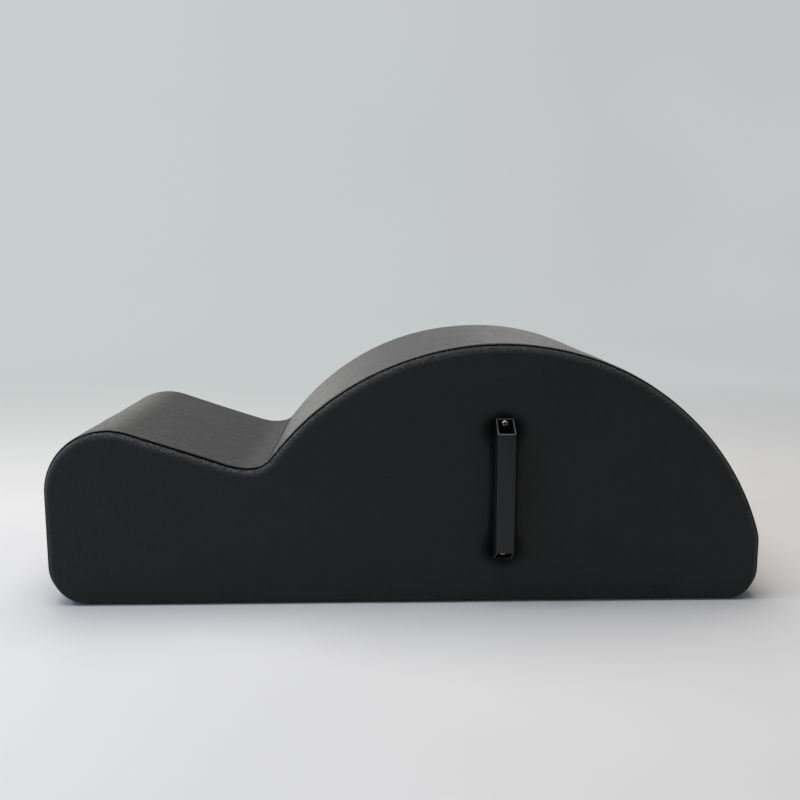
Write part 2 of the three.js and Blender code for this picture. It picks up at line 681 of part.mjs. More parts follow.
// Pan-head screw with a cross recess; its axis runs out from the panel and its head seats at zero
function handleScrew() {
  const [radius, head, height] = [SCREW_RADIUS, SCREW_HEAD_RADIUS, SCREW_HEAD_HEIGHT];
  const length = HANDLE_SEAT + HANDLE_WALL + FIT - (BOARD_IN - SCREW_PAST_NUT);
  const points = [
    [0, -length],
    [radius, -length],
    [radius, 0],
    [head, 0],
    ...PAN_HEAD_SHARES.map(([across, up]) => [head * across, height * up]),
    [0, height],
  ].map(([r, h]) => new THREE.Vector2(r, h));
  let screw = toSolid(new THREE.LatheGeometry(points, SCREW_SIDES));
  for (const [x, z] of [
    [CROSS_SPAN, CROSS_SLOT],
    [CROSS_SLOT, CROSS_SPAN],
  ]) {
    const slot = new THREE.BoxGeometry(x, 2 * CROSS_DEPTH, z);
    screw = screw.subtract(toSolid(slot.translate(0, height, 0)));
  }
  return toGeometry(screw);
}

// T-nut: flange on the inner face of a side board, barrel and prongs pressed into the wood.
// Its axis runs out from the middle, and the board's inner face is at zero.
function prongs(grow) {
  const [width, thickness] = [PRONG_WIDTH + 2 * grow, PRONG_THICKNESS + 2 * grow];
  const inFlange = FIT + NUT_FLANGE / 2;
  const prong = new THREE.BoxGeometry(width, PRONG_LENGTH + grow + inFlange, thickness);
  prong.translate(0, (PRONG_LENGTH + grow - inFlange) / 2, PRONG_RADIUS);
  const turns = Array.from({ length: PRONG_COUNT }, (_, i) => (i / PRONG_COUNT) * 2 * Math.PI);
  return turns.map((turn) => toSolid(prong.clone().rotateY(turn))).reduce((all, one) => all.add(one));
}

function tNut() {
  const bore = SCREW_RADIUS + FIT;
  const profile = [
    [bore, -FIT - NUT_FLANGE],
    [NUT_FLANGE_RADIUS, -FIT - NUT_FLANGE],
    [NUT_FLANGE_RADIUS, -FIT],
    [NUT_BARREL_RADIUS, -FIT],
    [NUT_BARREL_RADIUS, NUT_BARREL],
    [bore, NUT_BARREL],
    [bore, -FIT - NUT_FLANGE],
  ].map(([r, h]) => new THREE.Vector2(r, h));
  return toGeometry(toSolid(new THREE.LatheGeometry(profile, NUT_SIDES)).add(prongs(0)));
}

// What a side board gives up to its two T-nuts: the screw's way, the barrel's hole and the prongs' slits
function nutPockets(side) {
  const barrel = screwBores(side, NUT_BARREL_RADIUS + FIT, BOARD_IN - OVERRUN, BOARD_IN + NUT_BARREL + FIT);
  let pockets = barrel.add(screwBores(side, SCREW_RADIUS + FIT, BOARD_IN, BOARD_OUT + OVERRUN));
  for (const end of [1, -1]) {
    const slits = toGeometry(prongs(FIT));
    if (side < 0) slits.rotateX(Math.PI);
    const height = screwHeight(end);
    pockets = pockets.add(toSolid(slits.translate(HANDLE_X, side * BOARD_IN, height)));
  }
  return pockets;
}

function makeHandleFasteners(side, name) {
  const kinds = [
    ["handle_screw_", handleScrew(), HANDLE_SEAT + HANDLE_WALL + FIT],
    ["t_nut_", tNut(), BOARD_IN],
  ];
  for (const [kind, geometry, out] of kinds) {
    if (side < 0) geometry.rotateX(Math.PI);
    for (const [end, place] of [
      [1, "upper"],
      [-1, "lower"],
    ]) {
      const height = screwHeight(end);
      addNode(kind + name + "_" + place, geometry.clone().translate(HANDLE_X, side * out, height), ZINC);
    }
  }
}

const SIDES = [
  [-1, "front"],
  [1, "rear"],
];

makeFrame();
makePlySkins();
makePads();
makeCovers();
makeBaseCloth();
addNode("crease_thread", creaseThread(), THREAD);
for (const [side, name] of SIDES) {
  makePanel(side, name);
  makeHandle(side, name);
  makeHandleFasteners(side, name);
}

export default root;
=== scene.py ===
import bpy
import numpy as np
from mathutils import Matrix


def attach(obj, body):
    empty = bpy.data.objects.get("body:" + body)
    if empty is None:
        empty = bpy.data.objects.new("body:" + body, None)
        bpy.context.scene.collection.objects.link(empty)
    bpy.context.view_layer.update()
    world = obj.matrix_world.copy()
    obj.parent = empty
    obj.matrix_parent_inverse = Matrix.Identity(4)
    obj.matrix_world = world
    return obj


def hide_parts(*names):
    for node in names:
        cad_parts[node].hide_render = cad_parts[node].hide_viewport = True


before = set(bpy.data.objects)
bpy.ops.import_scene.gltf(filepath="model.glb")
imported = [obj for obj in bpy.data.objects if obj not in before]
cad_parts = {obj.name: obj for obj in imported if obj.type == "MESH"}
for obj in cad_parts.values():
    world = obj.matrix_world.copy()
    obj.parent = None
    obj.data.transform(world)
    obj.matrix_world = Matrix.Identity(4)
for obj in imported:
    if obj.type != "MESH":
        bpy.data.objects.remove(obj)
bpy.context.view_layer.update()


# Plywood frame. Two side boards and a middle rib stand on a base board and carry two bent skins. They are
# routed from birch plywood, glued and screwed together, and the padding hides them completely.
class Finish:
    """A material while it is wired: node() adds one node and gives its output, relief() adds a bump."""

    def __init__(self, name, **values):
        self.material = bpy.data.materials.new(name)
        self.material.use_nodes = True
        self.tree = self.material.node_tree
        self.shader = self.tree.nodes["Principled BSDF"]
        for key, value in values.items():
            self.shader.inputs[key.replace("_", " ")].default_value = value
        self.place = self.node("TexCoord", out="Object")

    def node(self, kind, *inputs, out=0, **settings):
        node = self.tree.nodes.new("ShaderNode" + kind)
        sockets = list(enumerate(inputs))
        for key, value in settings.items():
            if key[0].isupper():
                sockets.append((key.replace("_", " "), value))
            else:
                setattr(node, key, value)
        for key, value in sockets:
            if isinstance(value, bpy.types.NodeSocket):
                self.tree.links.new(value, node.inputs[key])
            elif value is not None:
                node.inputs[key].default_value = value
        return node.outputs[out]

    def math(self, operation, *inputs):
        return self.node("Math", *inputs, operation=operation)

    def add(self, *values):
        return self.math("ADD", *values)

    def times(self, *values):
        return self.math("MULTIPLY", *values)

    def stretched(self, x, y, z):
        """The object's place, each axis times a factor."""
        return self.node("Mapping", self.place, Scale=(x, y, z))

    def noise(self, scale, detail=2.0, roughness=0.5, vector=None):
        return self.node("TexNoise", Vector=vector or self.place, Scale=scale, Detail=detail,
                         Roughness=roughness)

    def ramp(self, value, low, high, start=0.0, end=1.0):
        """From `start` where the value is `low` to `end` where it is `high`, and level beyond them."""
        return self.node("MapRange", value, low, high, start, end, clamp=True)

    def mix(self, share, first, second):
        """The first colour, and by the share the second."""
        node = self.tree.nodes.new("ShaderNodeMix")
        node.data_type = "RGBA"
        for index, value in ((0, share), (6, first), (7, second)):
            if isinstance(value, bpy.types.NodeSocket):
                self.tree.links.new(value, node.inputs[index])
            else:
                node.inputs[index].default_value = value if index == 0 else (*value, 1)
        return node.outputs[2]

    def use(self, **sockets):
        for key, value in sockets.items():
            self.tree.links.new(value, self.shader.inputs[key.replace("_", " ")])

    def relief(self, height, depth, normal=None):
        """A bump as deep as `depth` metres where the height goes from 0 to 1."""
        return self.node("Bump", Strength=1.0, Distance=depth, Height=height, Normal=normal)


def plywood(name, stack, plies=0.0014):
    """Birch plywood: long streaks of grain along x on its faces, and on its edges the plies in turn light and
    dark, told apart by the sine of the place along the stack axis."""
    wood = Finish(name)
    grain = wood.noise(1.0, 6.0, 0.6, wood.stretched(9, 150, 150))
    pores = wood.noise(1.0, 2.0, 0.5, wood.stretched(160, 2600, 2600))
    tone = wood.ramp(wood.add(grain, wood.times(pores, 0.35)), 0.4, 0.95)
    face = wood.mix(tone, (0.62, 0.43, 0.24), (0.80, 0.62, 0.40))
    along = wood.node("SeparateXYZ", wood.place, out=stack)
    turn = wood.math("SINE", wood.times(along, float(np.pi / plies)))
    layer = wood.ramp(turn, -0.25, 0.25)
    fleck = wood.noise(900.0, 2.0)
    edge = wood.mix(layer, (0.36, 0.22, 0.11), (0.66, 0.48, 0.28))
    edge = wood.mix(wood.ramp(fleck, 0.42, 0.75), edge, (0.27, 0.16, 0.08))
    facing = wood.node("SeparateXYZ", wood.node("NewGeometry", out="Normal"), out=stack)
    on_edge = wood.math("LESS_THAN", wood.math("ABSOLUTE", facing), 0.6)
    wood.use(Base_Color=wood.mix(on_edge, face, edge),
             Roughness=wood.ramp(pores, 0.3, 0.7, 0.55, 0.78),
             Normal=wood.relief(wood.add(grain, pores), 0.0002))
    return wood.material


def dress(finish, *nodes):
    """Gives CAD nodes that stay as they are their finish."""
    for name in nodes:
        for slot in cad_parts[name].material_slots:
            slot.material = finish


dress(plywood("board_plywood", 1), "side_board_front", "side_board_rear", "middle_rib")
dress(plywood("base_plywood", 2), "base_board")
dress(plywood("bent_plywood", 1, plies=0.0009), "step_skin", "barrel_skin")


# Battens and valley block. Eight sawn pine bars run across between the side boards under the bent skins, and
# a wider block backs the crease. They are planed to the curve above them and glued into notches of the rib.
pine = Finish("sawn_pine")
rings = pine.node("TexWave", Vector=pine.stretched(1, 0.06, 1), Scale=130.0, Distortion=5.0, Detail=2.0,
                  Detail_Scale=1.2, wave_type="RINGS", rings_direction="Y")
fibre = pine.noise(1.0, 4.0, 0.6, pine.stretched(900, 18, 900))
tone = pine.ramp(pine.add(rings, pine.times(fibre, 0.5)), 0.3, 1.3)
pine.use(Base_Color=pine.mix(tone, (0.60, 0.38, 0.17), (0.84, 0.66, 0.40)),
         Roughness=pine.ramp(fibre, 0.3, 0.7, 0.6, 0.8),
         Normal=pine.relief(fibre, 0.00025))
dress(pine.material, "valley_block", *(f"cross_batten_{i}" for i in range(1, 9)))


# Wood screws and T-nuts. Six countersunk screws come up through the base board, and four T-nuts are pressed
# into the inner faces of the side boards for the handles. They are bright zinc-plated steel, like the
# handles' screws, whose cross recess is painted black as painted shade.
zinc = Finish("zinc_plate", Metallic=1.0, Specular_IOR_Level=0.5)
spangle = zinc.node("TexVoronoi", zinc.place, Scale=420.0, out="Distance")
scratches = zinc.noise(1.0, 3.0, 0.6, zinc.stretched(300, 2600, 300))
plated = zinc.mix(zinc.ramp(spangle, 0.1, 0.7), (0.35, 0.36, 0.37), (0.75, 0.76, 0.77))
recess = zinc.node("SeparateXYZ", zinc.node("UVMap", uv_map="seam"))
# Painted shade: the screws' cross recess turns near black.
zinc.use(Base_Color=zinc.mix(zinc.ramp(recess, 0.15, 0.6), plated, (0.012, 0.012, 0.013)),
         Roughness=zinc.ramp(scratches, 0.3, 0.7, 0.2, 0.38), Normal=zinc.relief(scratches, 0.00003))
SIDES = ((-1, "front"), (1, "rear"))
dress(zinc.material, *(f"wood_screw_{i}" for i in range(1, 7)),
      *(f"t_nut_{name}_{place}" for _, name in SIDES for place in ("upper", "lower")))


# Foam over the step and the barrel. Firm polyurethane foam, 30 mm thick, is glued over the bent skins in two
# pieces that meet in the crease, and its long edges are shaved round where the covers roll into the seams.
LENGTH, WIDTH, BARREL_HEIGHT, STEP_HEIGHT = 1.0, 0.4, 0.364, 0.247
HEEL_RADIUS, HUMP_RADIUS, STEP_SLOPE, STEP_LENGTH = 0.051, 0.09, np.radians(18.2), 0.305
VALLEY_RADIUS, VALLEY_LIFT, CROWN_SHARE, SHOULDER_ANGLE = 0.074, 0.015, 0.469, np.radians(70)
END_RADIUS, END_STRAIGHT, TOE_RADIUS = 0.06, 0.038, 0.04
BASE_LINE = 0.0015  # the height at which the covers pass under the base
LOW_END = -LENGTH / 2
HEEL_X, TOE_X = LOW_END + HEEL_RADIUS, LENGTH / 2 - TOE_RADIUS
# Each layer's place under the cover's face, and how far from the middle its edge lies.
PAD_OUT, PAD_IN = 0.0017, 0.0317
PAD_HALF, BAND_HALF = 0.1871, 0.1893
PAD_GRID, BAND_GRID = (24, 5), (70, 6)  # points across the flat, and over each rolled edge
# The seam is a groove as deep as SEAM_DEPTH, in which the edges sink further beside the thread.
SEAM_DEPTH, SEAM_SINK, BAND_ROLL, BASE_TUCK = 0.0026, 0.0032, 0.0045, 0.3
# The crease is drawn fully in the middle, fades towards each seam, and keeps a fifth of its depth there.
CREASE_DEPTH, CREASE_ROLL, CREASE_GAP, CREASE_KEPT = 0.003, 0.005, 0.0005, 0.2
FRONT_FADE, REAR_FADE = 0.042, 0.008
CREASE_STEPS = np.array([0, 0.03, 0.12, 0.3, 0.55, 0.8, 1.0])
ARC_SPACING, LINE_SPACING = 0.001, 0.0028  # of the points on the arcs, and then along the outline
UNEVEN = 0.00022  # height of the waves in the padding


def arc(centre, radius, start, stop):
    """Points on a circle, and the unit vectors that point out of the part there: the centre plus the radius
    times the cosine and sine of evenly spaced angles. An arc that turns anticlockwise is hollow, and its
    vectors point at its centre."""
    angle = np.linspace(start, stop, max(4, int(abs(stop - start) * radius / ARC_SPACING)))
    out = np.stack([np.cos(angle), np.sin(angle)], axis=1)
    return centre + radius * out, out * (1.0 if stop < start else -1.0)


def run_along(points):
    """How far along a line each of its points lies."""
    return np.concatenate([[0], np.cumsum(np.linalg.norm(np.diff(points, axis=0), axis=1))])


def read_off(places, run, table):
    """The rows of a table that belong to places along a run, each column interpolated between its rows."""
    return np.stack([np.interp(places, run, column) for column in table.T], axis=-1)


def spread(points, outs):
    """The same line and its outward vectors with evenly spaced points."""
    run = run_along(points)
    keep = np.concatenate([[True], np.diff(run) > 1e-9])
    even = np.linspace(0, run[-1], int(run[-1] / LINE_SPACING) + 1)
    both = read_off(even, run[keep], np.hstack([points, outs])[keep])
    both[:, 2:] /= np.linalg.norm(both[:, 2:], axis=1, keepdims=True)
    return both[:, :2], both[:, 2:]


def direction(angle):
    return np.array([np.cos(angle), np.sin(angle)])


def outline_arcs():
    """The arcs over the step and those over the barrel. The valley arc leaves the slope as a tangent and has
    climbed its lift at the crease, the dome runs from the crease over the crown, and the shoulder arc leaves
    the dome as a tangent and touches the end arc inside."""
    lean = np.pi / 2 - STEP_SLOPE
    out, along = direction(lean), np.array([np.sin(lean), -np.cos(lean)])
    heel = np.array([HEEL_X, BASE_LINE + HEEL_RADIUS])
    hump = np.array([LOW_END + HUMP_RADIUS, STEP_HEIGHT - HUMP_RADIUS])
    crease = hump + (HUMP_RADIUS + VALLEY_LIFT) * out
    crease = crease + along * (LOW_END + STEP_LENGTH - crease[0]) / along[0]
    turn = np.arccos(1 - VALLEY_LIFT / VALLEY_RADIUS)
    valley = crease + (VALLEY_RADIUS - VALLEY_LIFT) * out - VALLEY_RADIUS * np.sin(turn) * along
    crown = np.array([crease[0] + CROWN_SHARE * (LENGTH - STEP_LENGTH), BARREL_HEIGHT])
    rise = crown[1] - crease[1]
    radius = ((crown[0] - crease[0]) ** 2 + rise ** 2) / (2 * rise)
    dome = crown - [0, radius]
    toe = np.array([TOE_X, BASE_LINE + TOE_RADIUS])
    end = np.array([LENGTH / 2 - END_RADIUS, toe[1] + END_STRAIGHT])
    away, reach, offset = direction(SHOULDER_ANGLE), radius - END_RADIUS, end - dome
    shift = (reach ** 2 - offset @ offset) / (2 * (reach - away @ offset))
    shoulder = dome + shift * away
    angle_of = lambda point, centre: np.arctan2(*(point - centre)[::-1])
    end_angle = angle_of(end, shoulder)
    step = [arc(heel, HEEL_RADIUS, -np.pi / 2, -np.pi),
            arc(hump, HUMP_RADIUS, np.pi, lean),
            arc(valley, VALLEY_RADIUS, lean - np.pi, angle_of(crease, valley))]
    barrel = [arc(dome, radius, angle_of(crease, dome), SHOULDER_ANGLE),
              arc(shoulder, radius - shift, SHOULDER_ANGLE, end_angle),
              arc(end, END_RADIUS, end_angle, 0),
              arc(toe, TOE_RADIUS, 0, -np.pi / 2)]
    return [tuple(np.vstack(column) for column in zip(*arcs)) for arcs in (step, barrel)]


def smooth_step(share):
    """3t^2 - 2t^3, which goes from 0 to 1 and starts and ends level."""
    return share ** 2 * (3 - 2 * share)


def softened(points, middle, width=0.009, reach=0.07):
    """The line with its corner at one point rounded off: near it each point is the mean of those round it,
    weighted by a bell curve as wide as `width`, and further away the points stay."""
    run = np.arange(len(points)) * LINE_SPACING
    bell = np.exp(-0.5 * ((run[:, None] - run[None, :]) / width) ** 2)
    smooth = (bell / bell.sum(axis=1, keepdims=True)) @ points
    share = np.clip(2 - np.abs(run - run[middle]) / (reach / 2), 0, 1)[:, None]
    return points + (smooth - points) * smooth_step(share)


def outward(points):
    """Unit vectors square to a line that runs with the part on its right, pointing out of the part."""
    along = np.gradient(points, axis=0)
    along /= np.linalg.norm(along, axis=1, keepdims=True)
    return np.stack([-along[:, 1], along[:, 0]], axis=1)


(step_line, step_out), (barrel_line, barrel_out) = (spread(*arcs) for arcs in outline_arcs())
CREASE = len(step_line) - 1
soft_line = softened(np.vstack([step_line, barrel_line[1:]]), CREASE)
soft_out = outward(soft_line)
crease_out = (step_out[-1] + barrel_out[0]) / (1 + step_out[-1] @ barrel_out[0])


def tucked(out_z):
    """The share of its depth that a seam or a rolled edge keeps: 1 on top and on the ends, and less towards
    the base, by the square of how far the face looks down."""
    return 1 + (BASE_TUCK - 1) * np.clip(-out_z, 0, 1) ** 2


def swell(x, across):
    """How uneven the padding is, in metres: three long waves across each other."""
    return UNEVEN * (np.sin(31 * x + 9 * across) + np.sin(17 * x - 23 * across + 1.3)
                     + 0.7 * np.sin(53 * across + 21 * x))


class Stretch:
    """One stretch of the outline, over the step or the barrel: its line with a crisp corner in the crease,
    the softened line that it has along the seams, and the distance of each point from the crease."""

    def __init__(self, line, out, soft, soft_outs):
        run = np.arange(len(line)) * LINE_SPACING
        rest = run[run > CREASE_GAP + CREASE_ROLL + 0.001]  # from 1 mm past the roll
        self.away = np.concatenate([CREASE_GAP + CREASE_ROLL * CREASE_STEPS, rest])
        blend = lambda values: read_off(self.away, run, values)
        self.line, self.soft, self.soft_out = blend(line), blend(soft), blend(soft_outs)
        corner = np.clip(1 - self.away / CREASE_ROLL, 0, 1)[:, None]
        self.out = blend(out) * (1 - corner) + crease_out * corner

    def lengthened(self, towards_middle, length=0.03, count=10):
        """The same stretch with a piece of some length folded under the base at its far end."""
        fold = np.linspace(0, length, count + 1)[1:]
        for name in ("line", "soft"):
            line = getattr(self, name)
            setattr(self, name, np.vstack([line, line[-1] + fold[:, None] * [towards_middle, 0]]))
        for name in ("out", "soft_out"):
            setattr(self, name, np.vstack([getattr(self, name), np.repeat([[0.0, -1.0]], count, axis=0)]))
        self.away = np.concatenate([self.away, self.away[-1] + fold])
        return self


def over_step():
    """From the crease back over the step and down the low end."""
    return Stretch(step_line[::-1], step_out[::-1], soft_line[CREASE::-1], soft_out[CREASE::-1])


def over_barrel():
    """From the crease over the barrel and down the high end."""
    return Stretch(barrel_line, barrel_out, soft_line[CREASE:], soft_out[CREASE:])


def across_band(half, count, roll_count):
    """Places across a band, how far each has sunk (0 on the flat, 1 at the seam's depth), and the angle that
    its edge has turned: a quarter circle, and then straight down beside the thread."""
    turn = np.append(np.linspace(0, np.pi / 2, roll_count), np.pi / 2)
    sunk = 1 - np.cos(turn)
    sunk[-1] += SEAM_SINK / SEAM_DEPTH
    flat = half - BAND_ROLL
    middle = np.linspace(-flat, flat, count)[1:-1]
    edge = flat + BAND_ROLL * np.sin(turn)
    place = np.concatenate([-edge[::-1], middle, edge])
    angle = np.concatenate([turn[::-1], np.zeros(len(middle)), turn])
    return place, np.concatenate([sunk[::-1], np.zeros(len(middle)), sunk]), angle


def crease_share(place, half):
    """How fully the crease is drawn at a place across a band: 1 in the middle, and towards each seam the
    smooth step of the distance from the seam over the fade's width."""
    return smooth_step(np.clip(np.minimum((half + place) / FRONT_FADE, (half - place) / REAR_FADE), 0, 1))


def crease_kept(share):
    """The share of the crease's depth that is left where it is drawn by a share."""
    return CREASE_KEPT + (1 - CREASE_KEPT) * share


def band(stretch, half, under, grid=BAND_GRID, swollen=True):
    """A surface that lies `under` below the face of the cover. Along the outline each point is the line's
    point less the inset times the outward vector. The inset is the seam's depth on the rolled edges and the
    crease's depth where the foam rolls down into the crease. Near the seams the softened line takes over,
    and there the crease fades out."""
    place, rolled, angle = across_band(half, *grid)
    middle = crease_share(place, half)[None, :, None]
    line = stretch.line[:, None] * middle + stretch.soft[:, None] * (1 - middle)
    out = stretch.out[:, None] * middle + stretch.soft_out[:, None] * (1 - middle)
    tuck = tucked(stretch.out[:, 1:])
    fall = np.clip((stretch.away - stretch.away[0]) / CREASE_ROLL, 0, 1)[:, None]
    dip = CREASE_DEPTH * (1 - np.sqrt(1 - (1 - fall) ** 2)) * crease_kept(middle[..., 0])
    inset = dip + (SEAM_DEPTH * tuck - dip) * rolled[None, :]
    if swollen:
        inset = inset - swell(line[..., 0], place[None, :]) * np.cos(angle)[None, :]
    inset = inset + under * np.maximum(np.cos(angle), 0.0)[None, :]
    flat = line - inset[..., None] * out
    across = np.sign(place) * (np.abs(place) - under * np.sin(angle))
    return np.stack([flat[..., 0], np.broadcast_to(across, flat.shape[:2]), flat[..., 1]], axis=-1)


def numbered(grid):
    """The indices of a grid's points, row after row."""
    return np.arange(grid.shape[0] * grid.shape[1]).reshape(grid.shape[:2])


def grid_faces(index):
    """Faces of four corners between the neighbouring points of a grid, given by their indices."""
    return np.stack([index[:-1, :-1], index[1:, :-1], index[1:, 1:], index[:-1, 1:]], axis=-1).reshape(-1, 4)


def edge_strip(ring, other):
    """Faces from a closed ring of points to the ring whose indices are higher by `other`."""
    following = np.roll(ring, -1)
    return np.stack([ring, following, following + other, ring + other], axis=-1)


def between_faces(outer, inner):
    """Closes the space between two grids of the same size: both grids, and a strip round their borders."""
    index = numbered(outer)
    other, quads = index.size, grid_faces(index)
    ring = np.concatenate([index[0, :-1], index[:-1, -1], index[-1, :0:-1], index[:0:-1, 0]])
    faces = np.vstack([quads, quads[:, ::-1] + other, edge_strip(ring, other)])
    return np.vstack([outer.reshape(-1, 3), inner.reshape(-1, 3)]), faces


def enclosed(points, faces):
    """The volume inside a closed mesh: the sum over its triangles of a sixth of the triple product."""
    a, b, c, d = (points[faces[:, i]] for i in range(4))
    return (np.einsum("ij,ij->i", a, np.cross(b, c)) + np.einsum("ij,ij->i", a, np.cross(c, d))).sum() / 6


def make_piece(name, points, faces, finish, slot, seam=None, crisp=50, halo_shade=None):
    """A piece from its points and its faces of four corners, turned to face outwards, riding on the frame.
    `seam` gives each point its way along the seam and its distance from it, kept as a UV map, and the last
    argument gives the share of painted shade round a handle's end, kept as an attribute."""
    faces = np.asarray(faces)
    if enclosed(points, faces) < 0:
        faces = faces[:, ::-1]
    mesh = bpy.data.meshes.new(name)
    mesh.vertices.add(len(points))
    mesh.vertices.foreach_set("co", points.astype(np.float32).ravel())
    mesh.loops.add(faces.size)
    mesh.loops.foreach_set("vertex_index", faces.astype(np.int32).ravel())
    mesh.polygons.add(len(faces))
    mesh.polygons.foreach_set("loop_start", np.arange(0, faces.size, 4, dtype=np.int32))
    mesh.polygons.foreach_set("loop_total", np.full(len(faces), 4, dtype=np.int32))
    mesh.update(calc_edges=True)
    mesh.validate()
    if seam is not None:
        layer = mesh.uv_layers.new(name="seam")
        corners = np.empty(len(mesh.loops), dtype=np.int32)
        mesh.loops.foreach_get("vertex_index", corners)
        layer.uv.foreach_set("vector", seam[corners].astype(np.float32).ravel())
    if halo_shade is not None:
        mesh.attributes.new("halo_shade", "FLOAT", "POINT").data.foreach_set("value", halo_shade.astype(np.float32))
    mesh.shade_smooth()
    mesh.set_sharp_from_angle(angle=np.radians(crisp))
    mesh.materials.append(finish)
    piece = bpy.data.objects.new(name, mesh)
    bpy.context.collection.objects.link(piece)
    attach(piece, "root")
    return piece


foam = Finish("firm_foam")
cells = foam.node("TexVoronoi", foam.place, Scale=1300.0, out="Distance")
cut_marks = foam.noise(1.0, 3.0, 0.5, foam.stretched(40, 400, 40))
foam.use(Base_Color=foam.mix(foam.ramp(cells, 0.1, 0.6), (0.60, 0.52, 0.30), (0.85, 0.79, 0.58)),
         Roughness=foam.ramp(cells, 0.0, 0.7, 0.8, 1.0),
         Normal=foam.relief(foam.add(cells, cut_marks), 0.0004))

for name, stretch in (("step", over_step()), ("barrel", over_barrel())):
    outer = band(stretch, PAD_HALF, PAD_OUT, PAD_GRID)[:, 1:-1]
    back = band(stretch, PAD_HALF, PAD_IN, PAD_GRID, swollen=False)[:, 12:13]  # one of its flat columns
    inner = outer.copy()
    inner[..., [0, 2]] = back[..., [0, 2]]
    pad = make_piece(f"{name}_foam", *between_faces(outer, inner), foam.material, "foam")
    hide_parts(f"{name}_pad")


# Covers over the step and the barrel. Two bands of black synthetic leather are pulled tight over the foam,
# sewn to each other in the crease, and folded under the base at both ends, where they are stapled.
SKIN = 0.0014  # thickness of the leather
# The pale grey of the painted glints on the grain, and the black of the painted shade in the seams and round
# the handles' ends.
PAINTED_GLINT_GREY, PAINTED_SHADE_BLACK = (0.150, 0.158, 0.180), (0.0010, 0.0010, 0.0011)
GLINT_AND_POLISH_FROM, GLINT_AND_POLISH_FULL = 0.12, 0.19  # heights below which an edge gets neither polish nor painted glints, and above which it gets both in full


def black_leather(name, dark, light, smooth, rough, glint_share=0.0):
    """Coated fabric with a pebbled grain of 2 mm, mottled in tone and gloss, smoothed and greyed in soft
    patches where hands and backs rub it. Near a seam it is stretched tight: the grain stands out, puckers run
    away from the seam, and the edge shines, but not low down, where nothing polishes it. Towards the step and
    high up, the tops of the grain beside the seams carry painted glints, pale grey, as strong as the share
    that the caller gives. The groove of a seam, and a halo round each handle's end, are painted shade: black,
    dull and set to metal, so that they lose their sheen."""
    leather = Finish(name, Specular_IOR_Level=0.3, IOR=1.5)
    add, times, ramp = leather.add, leather.times, leather.ramp
    run = leather.node("SeparateXYZ", leather.node("UVMap", uv_map="seam"))
    gap = run.node.outputs[1]
    pebbles = leather.node("TexVoronoi", leather.place, Scale=520.0, Smoothness=0.3, feature="SMOOTH_F1",
                           out="Distance")
    grain = add(pebbles, times(leather.noise(330.0, 3.0, 0.6), 0.9))
    slack = leather.noise(30.0, 3.0, 0.5)
    scuffs = leather.noise(1.0, 5.0, 0.65, leather.stretched(26, 60, 26))
    mottle = leather.noise(150.0, 4.0, 0.7)
    puckers = leather.noise(360.0, 3.0, 0.7, leather.node("CombineXYZ", run, times(gap, 0.3), 0.0))
    puckers = times(ramp(puckers, 0.42, 0.60), ramp(gap, 0.018, 0.003))
    # Painted glints: pale grey on the tops of the grain beside the seams, towards the step and high up.
    tops = ramp(leather.noise(520.0, 2.0, 0.6), 0.52, 0.62, 0.0, glint_share)
    near = ramp(gap, 0.009, 0.003)
    along = leather.node("SeparateXYZ", leather.place)
    height = along.node.outputs[2]
    painted_glint_and_wear = times(ramp(along, 0.05, -0.15, 0.2, 1.0), ramp(height, GLINT_AND_POLISH_FROM, GLINT_AND_POLISH_FULL))
    tops = times(times(tops, painted_glint_and_wear), ramp(gap, 0.0085, 0.0045))
    polish = times(near, ramp(height, GLINT_AND_POLISH_FROM, GLINT_AND_POLISH_FULL, -0.20, 0.16))
    in_seam = ramp(gap, 0.0014, 0.0007)
    shade = add(leather.noise(6.0, 3.0, 0.55), times(grain, 0.25))
    shade = add(shade, ramp(mottle, 0.3, 0.7, -0.25, 0.25))
    colour = leather.mix(ramp(shade, 0.4, 1.1), dark, light)
    scuffed = tuple(1.5 * part for part in light)
    colour = leather.mix(ramp(scuffs, 0.58, 0.78, 0.0, 0.35), colour, scuffed)
    # The painted glints lighten the colour here.
    colour = leather.mix(tops, colour, PAINTED_GLINT_GREY)
    gloss = add(ramp(grain, 0.3, 1.0, smooth, rough), ramp(scuffs, 0.4, 0.8, 0.0, 0.08))
    gloss = add(gloss, ramp(mottle, 0.3, 0.7, -0.10, 0.10))
    gloss = leather.math("SUBTRACT", gloss, polish)
    # Painted shade: the groove of each seam and a halo round each handle's end turn black, dull and metal, so
    # that they lose their sheen.
    halo_shade = leather.node("Attribute", attribute_name="halo_shade", out="Fac")
    painted_shade = leather.math("MAXIMUM", in_seam, ramp(halo_shade, 0.0, 1.0, 0.0, 0.65))
    folds = leather.relief(puckers, 0.0014, leather.relief(slack, 0.0007))
    leather.use(Base_Color=leather.mix(painted_shade, colour, PAINTED_SHADE_BLACK), Metallic=painted_shade,
                Roughness=add(gloss, times(in_seam, 0.4)),
                Normal=leather.relief(times(grain, ramp(near, 0, 1, 0.8, 1.6)), 0.0006, folds))
    return leather.material


# The three covers are one black leather. The step's is painted lighter than the sides', and the barrel's
# lighter still, as painted light on the tops. The sides' bluish tone is a painted tint of the bluer light
# from the left.
side_leather = black_leather("side_leather", (0.0064, 0.0073, 0.0083), (0.0100, 0.0106, 0.0110),
                             0.42, 0.60, glint_share=0.8)
step_leather = black_leather("step_leather", (0.0112, 0.0107, 0.0107), (0.0176, 0.0168, 0.0164),
                             0.37, 0.53)
barrel_leather = black_leather("barrel_leather", (0.0198, 0.0173, 0.0157), (0.0315, 0.0278, 0.0250),
                               0.20, 0.37)


CREASE_REACH, CREASE_WAY, REAR_WAY = 0.9, 0.35, 0.7


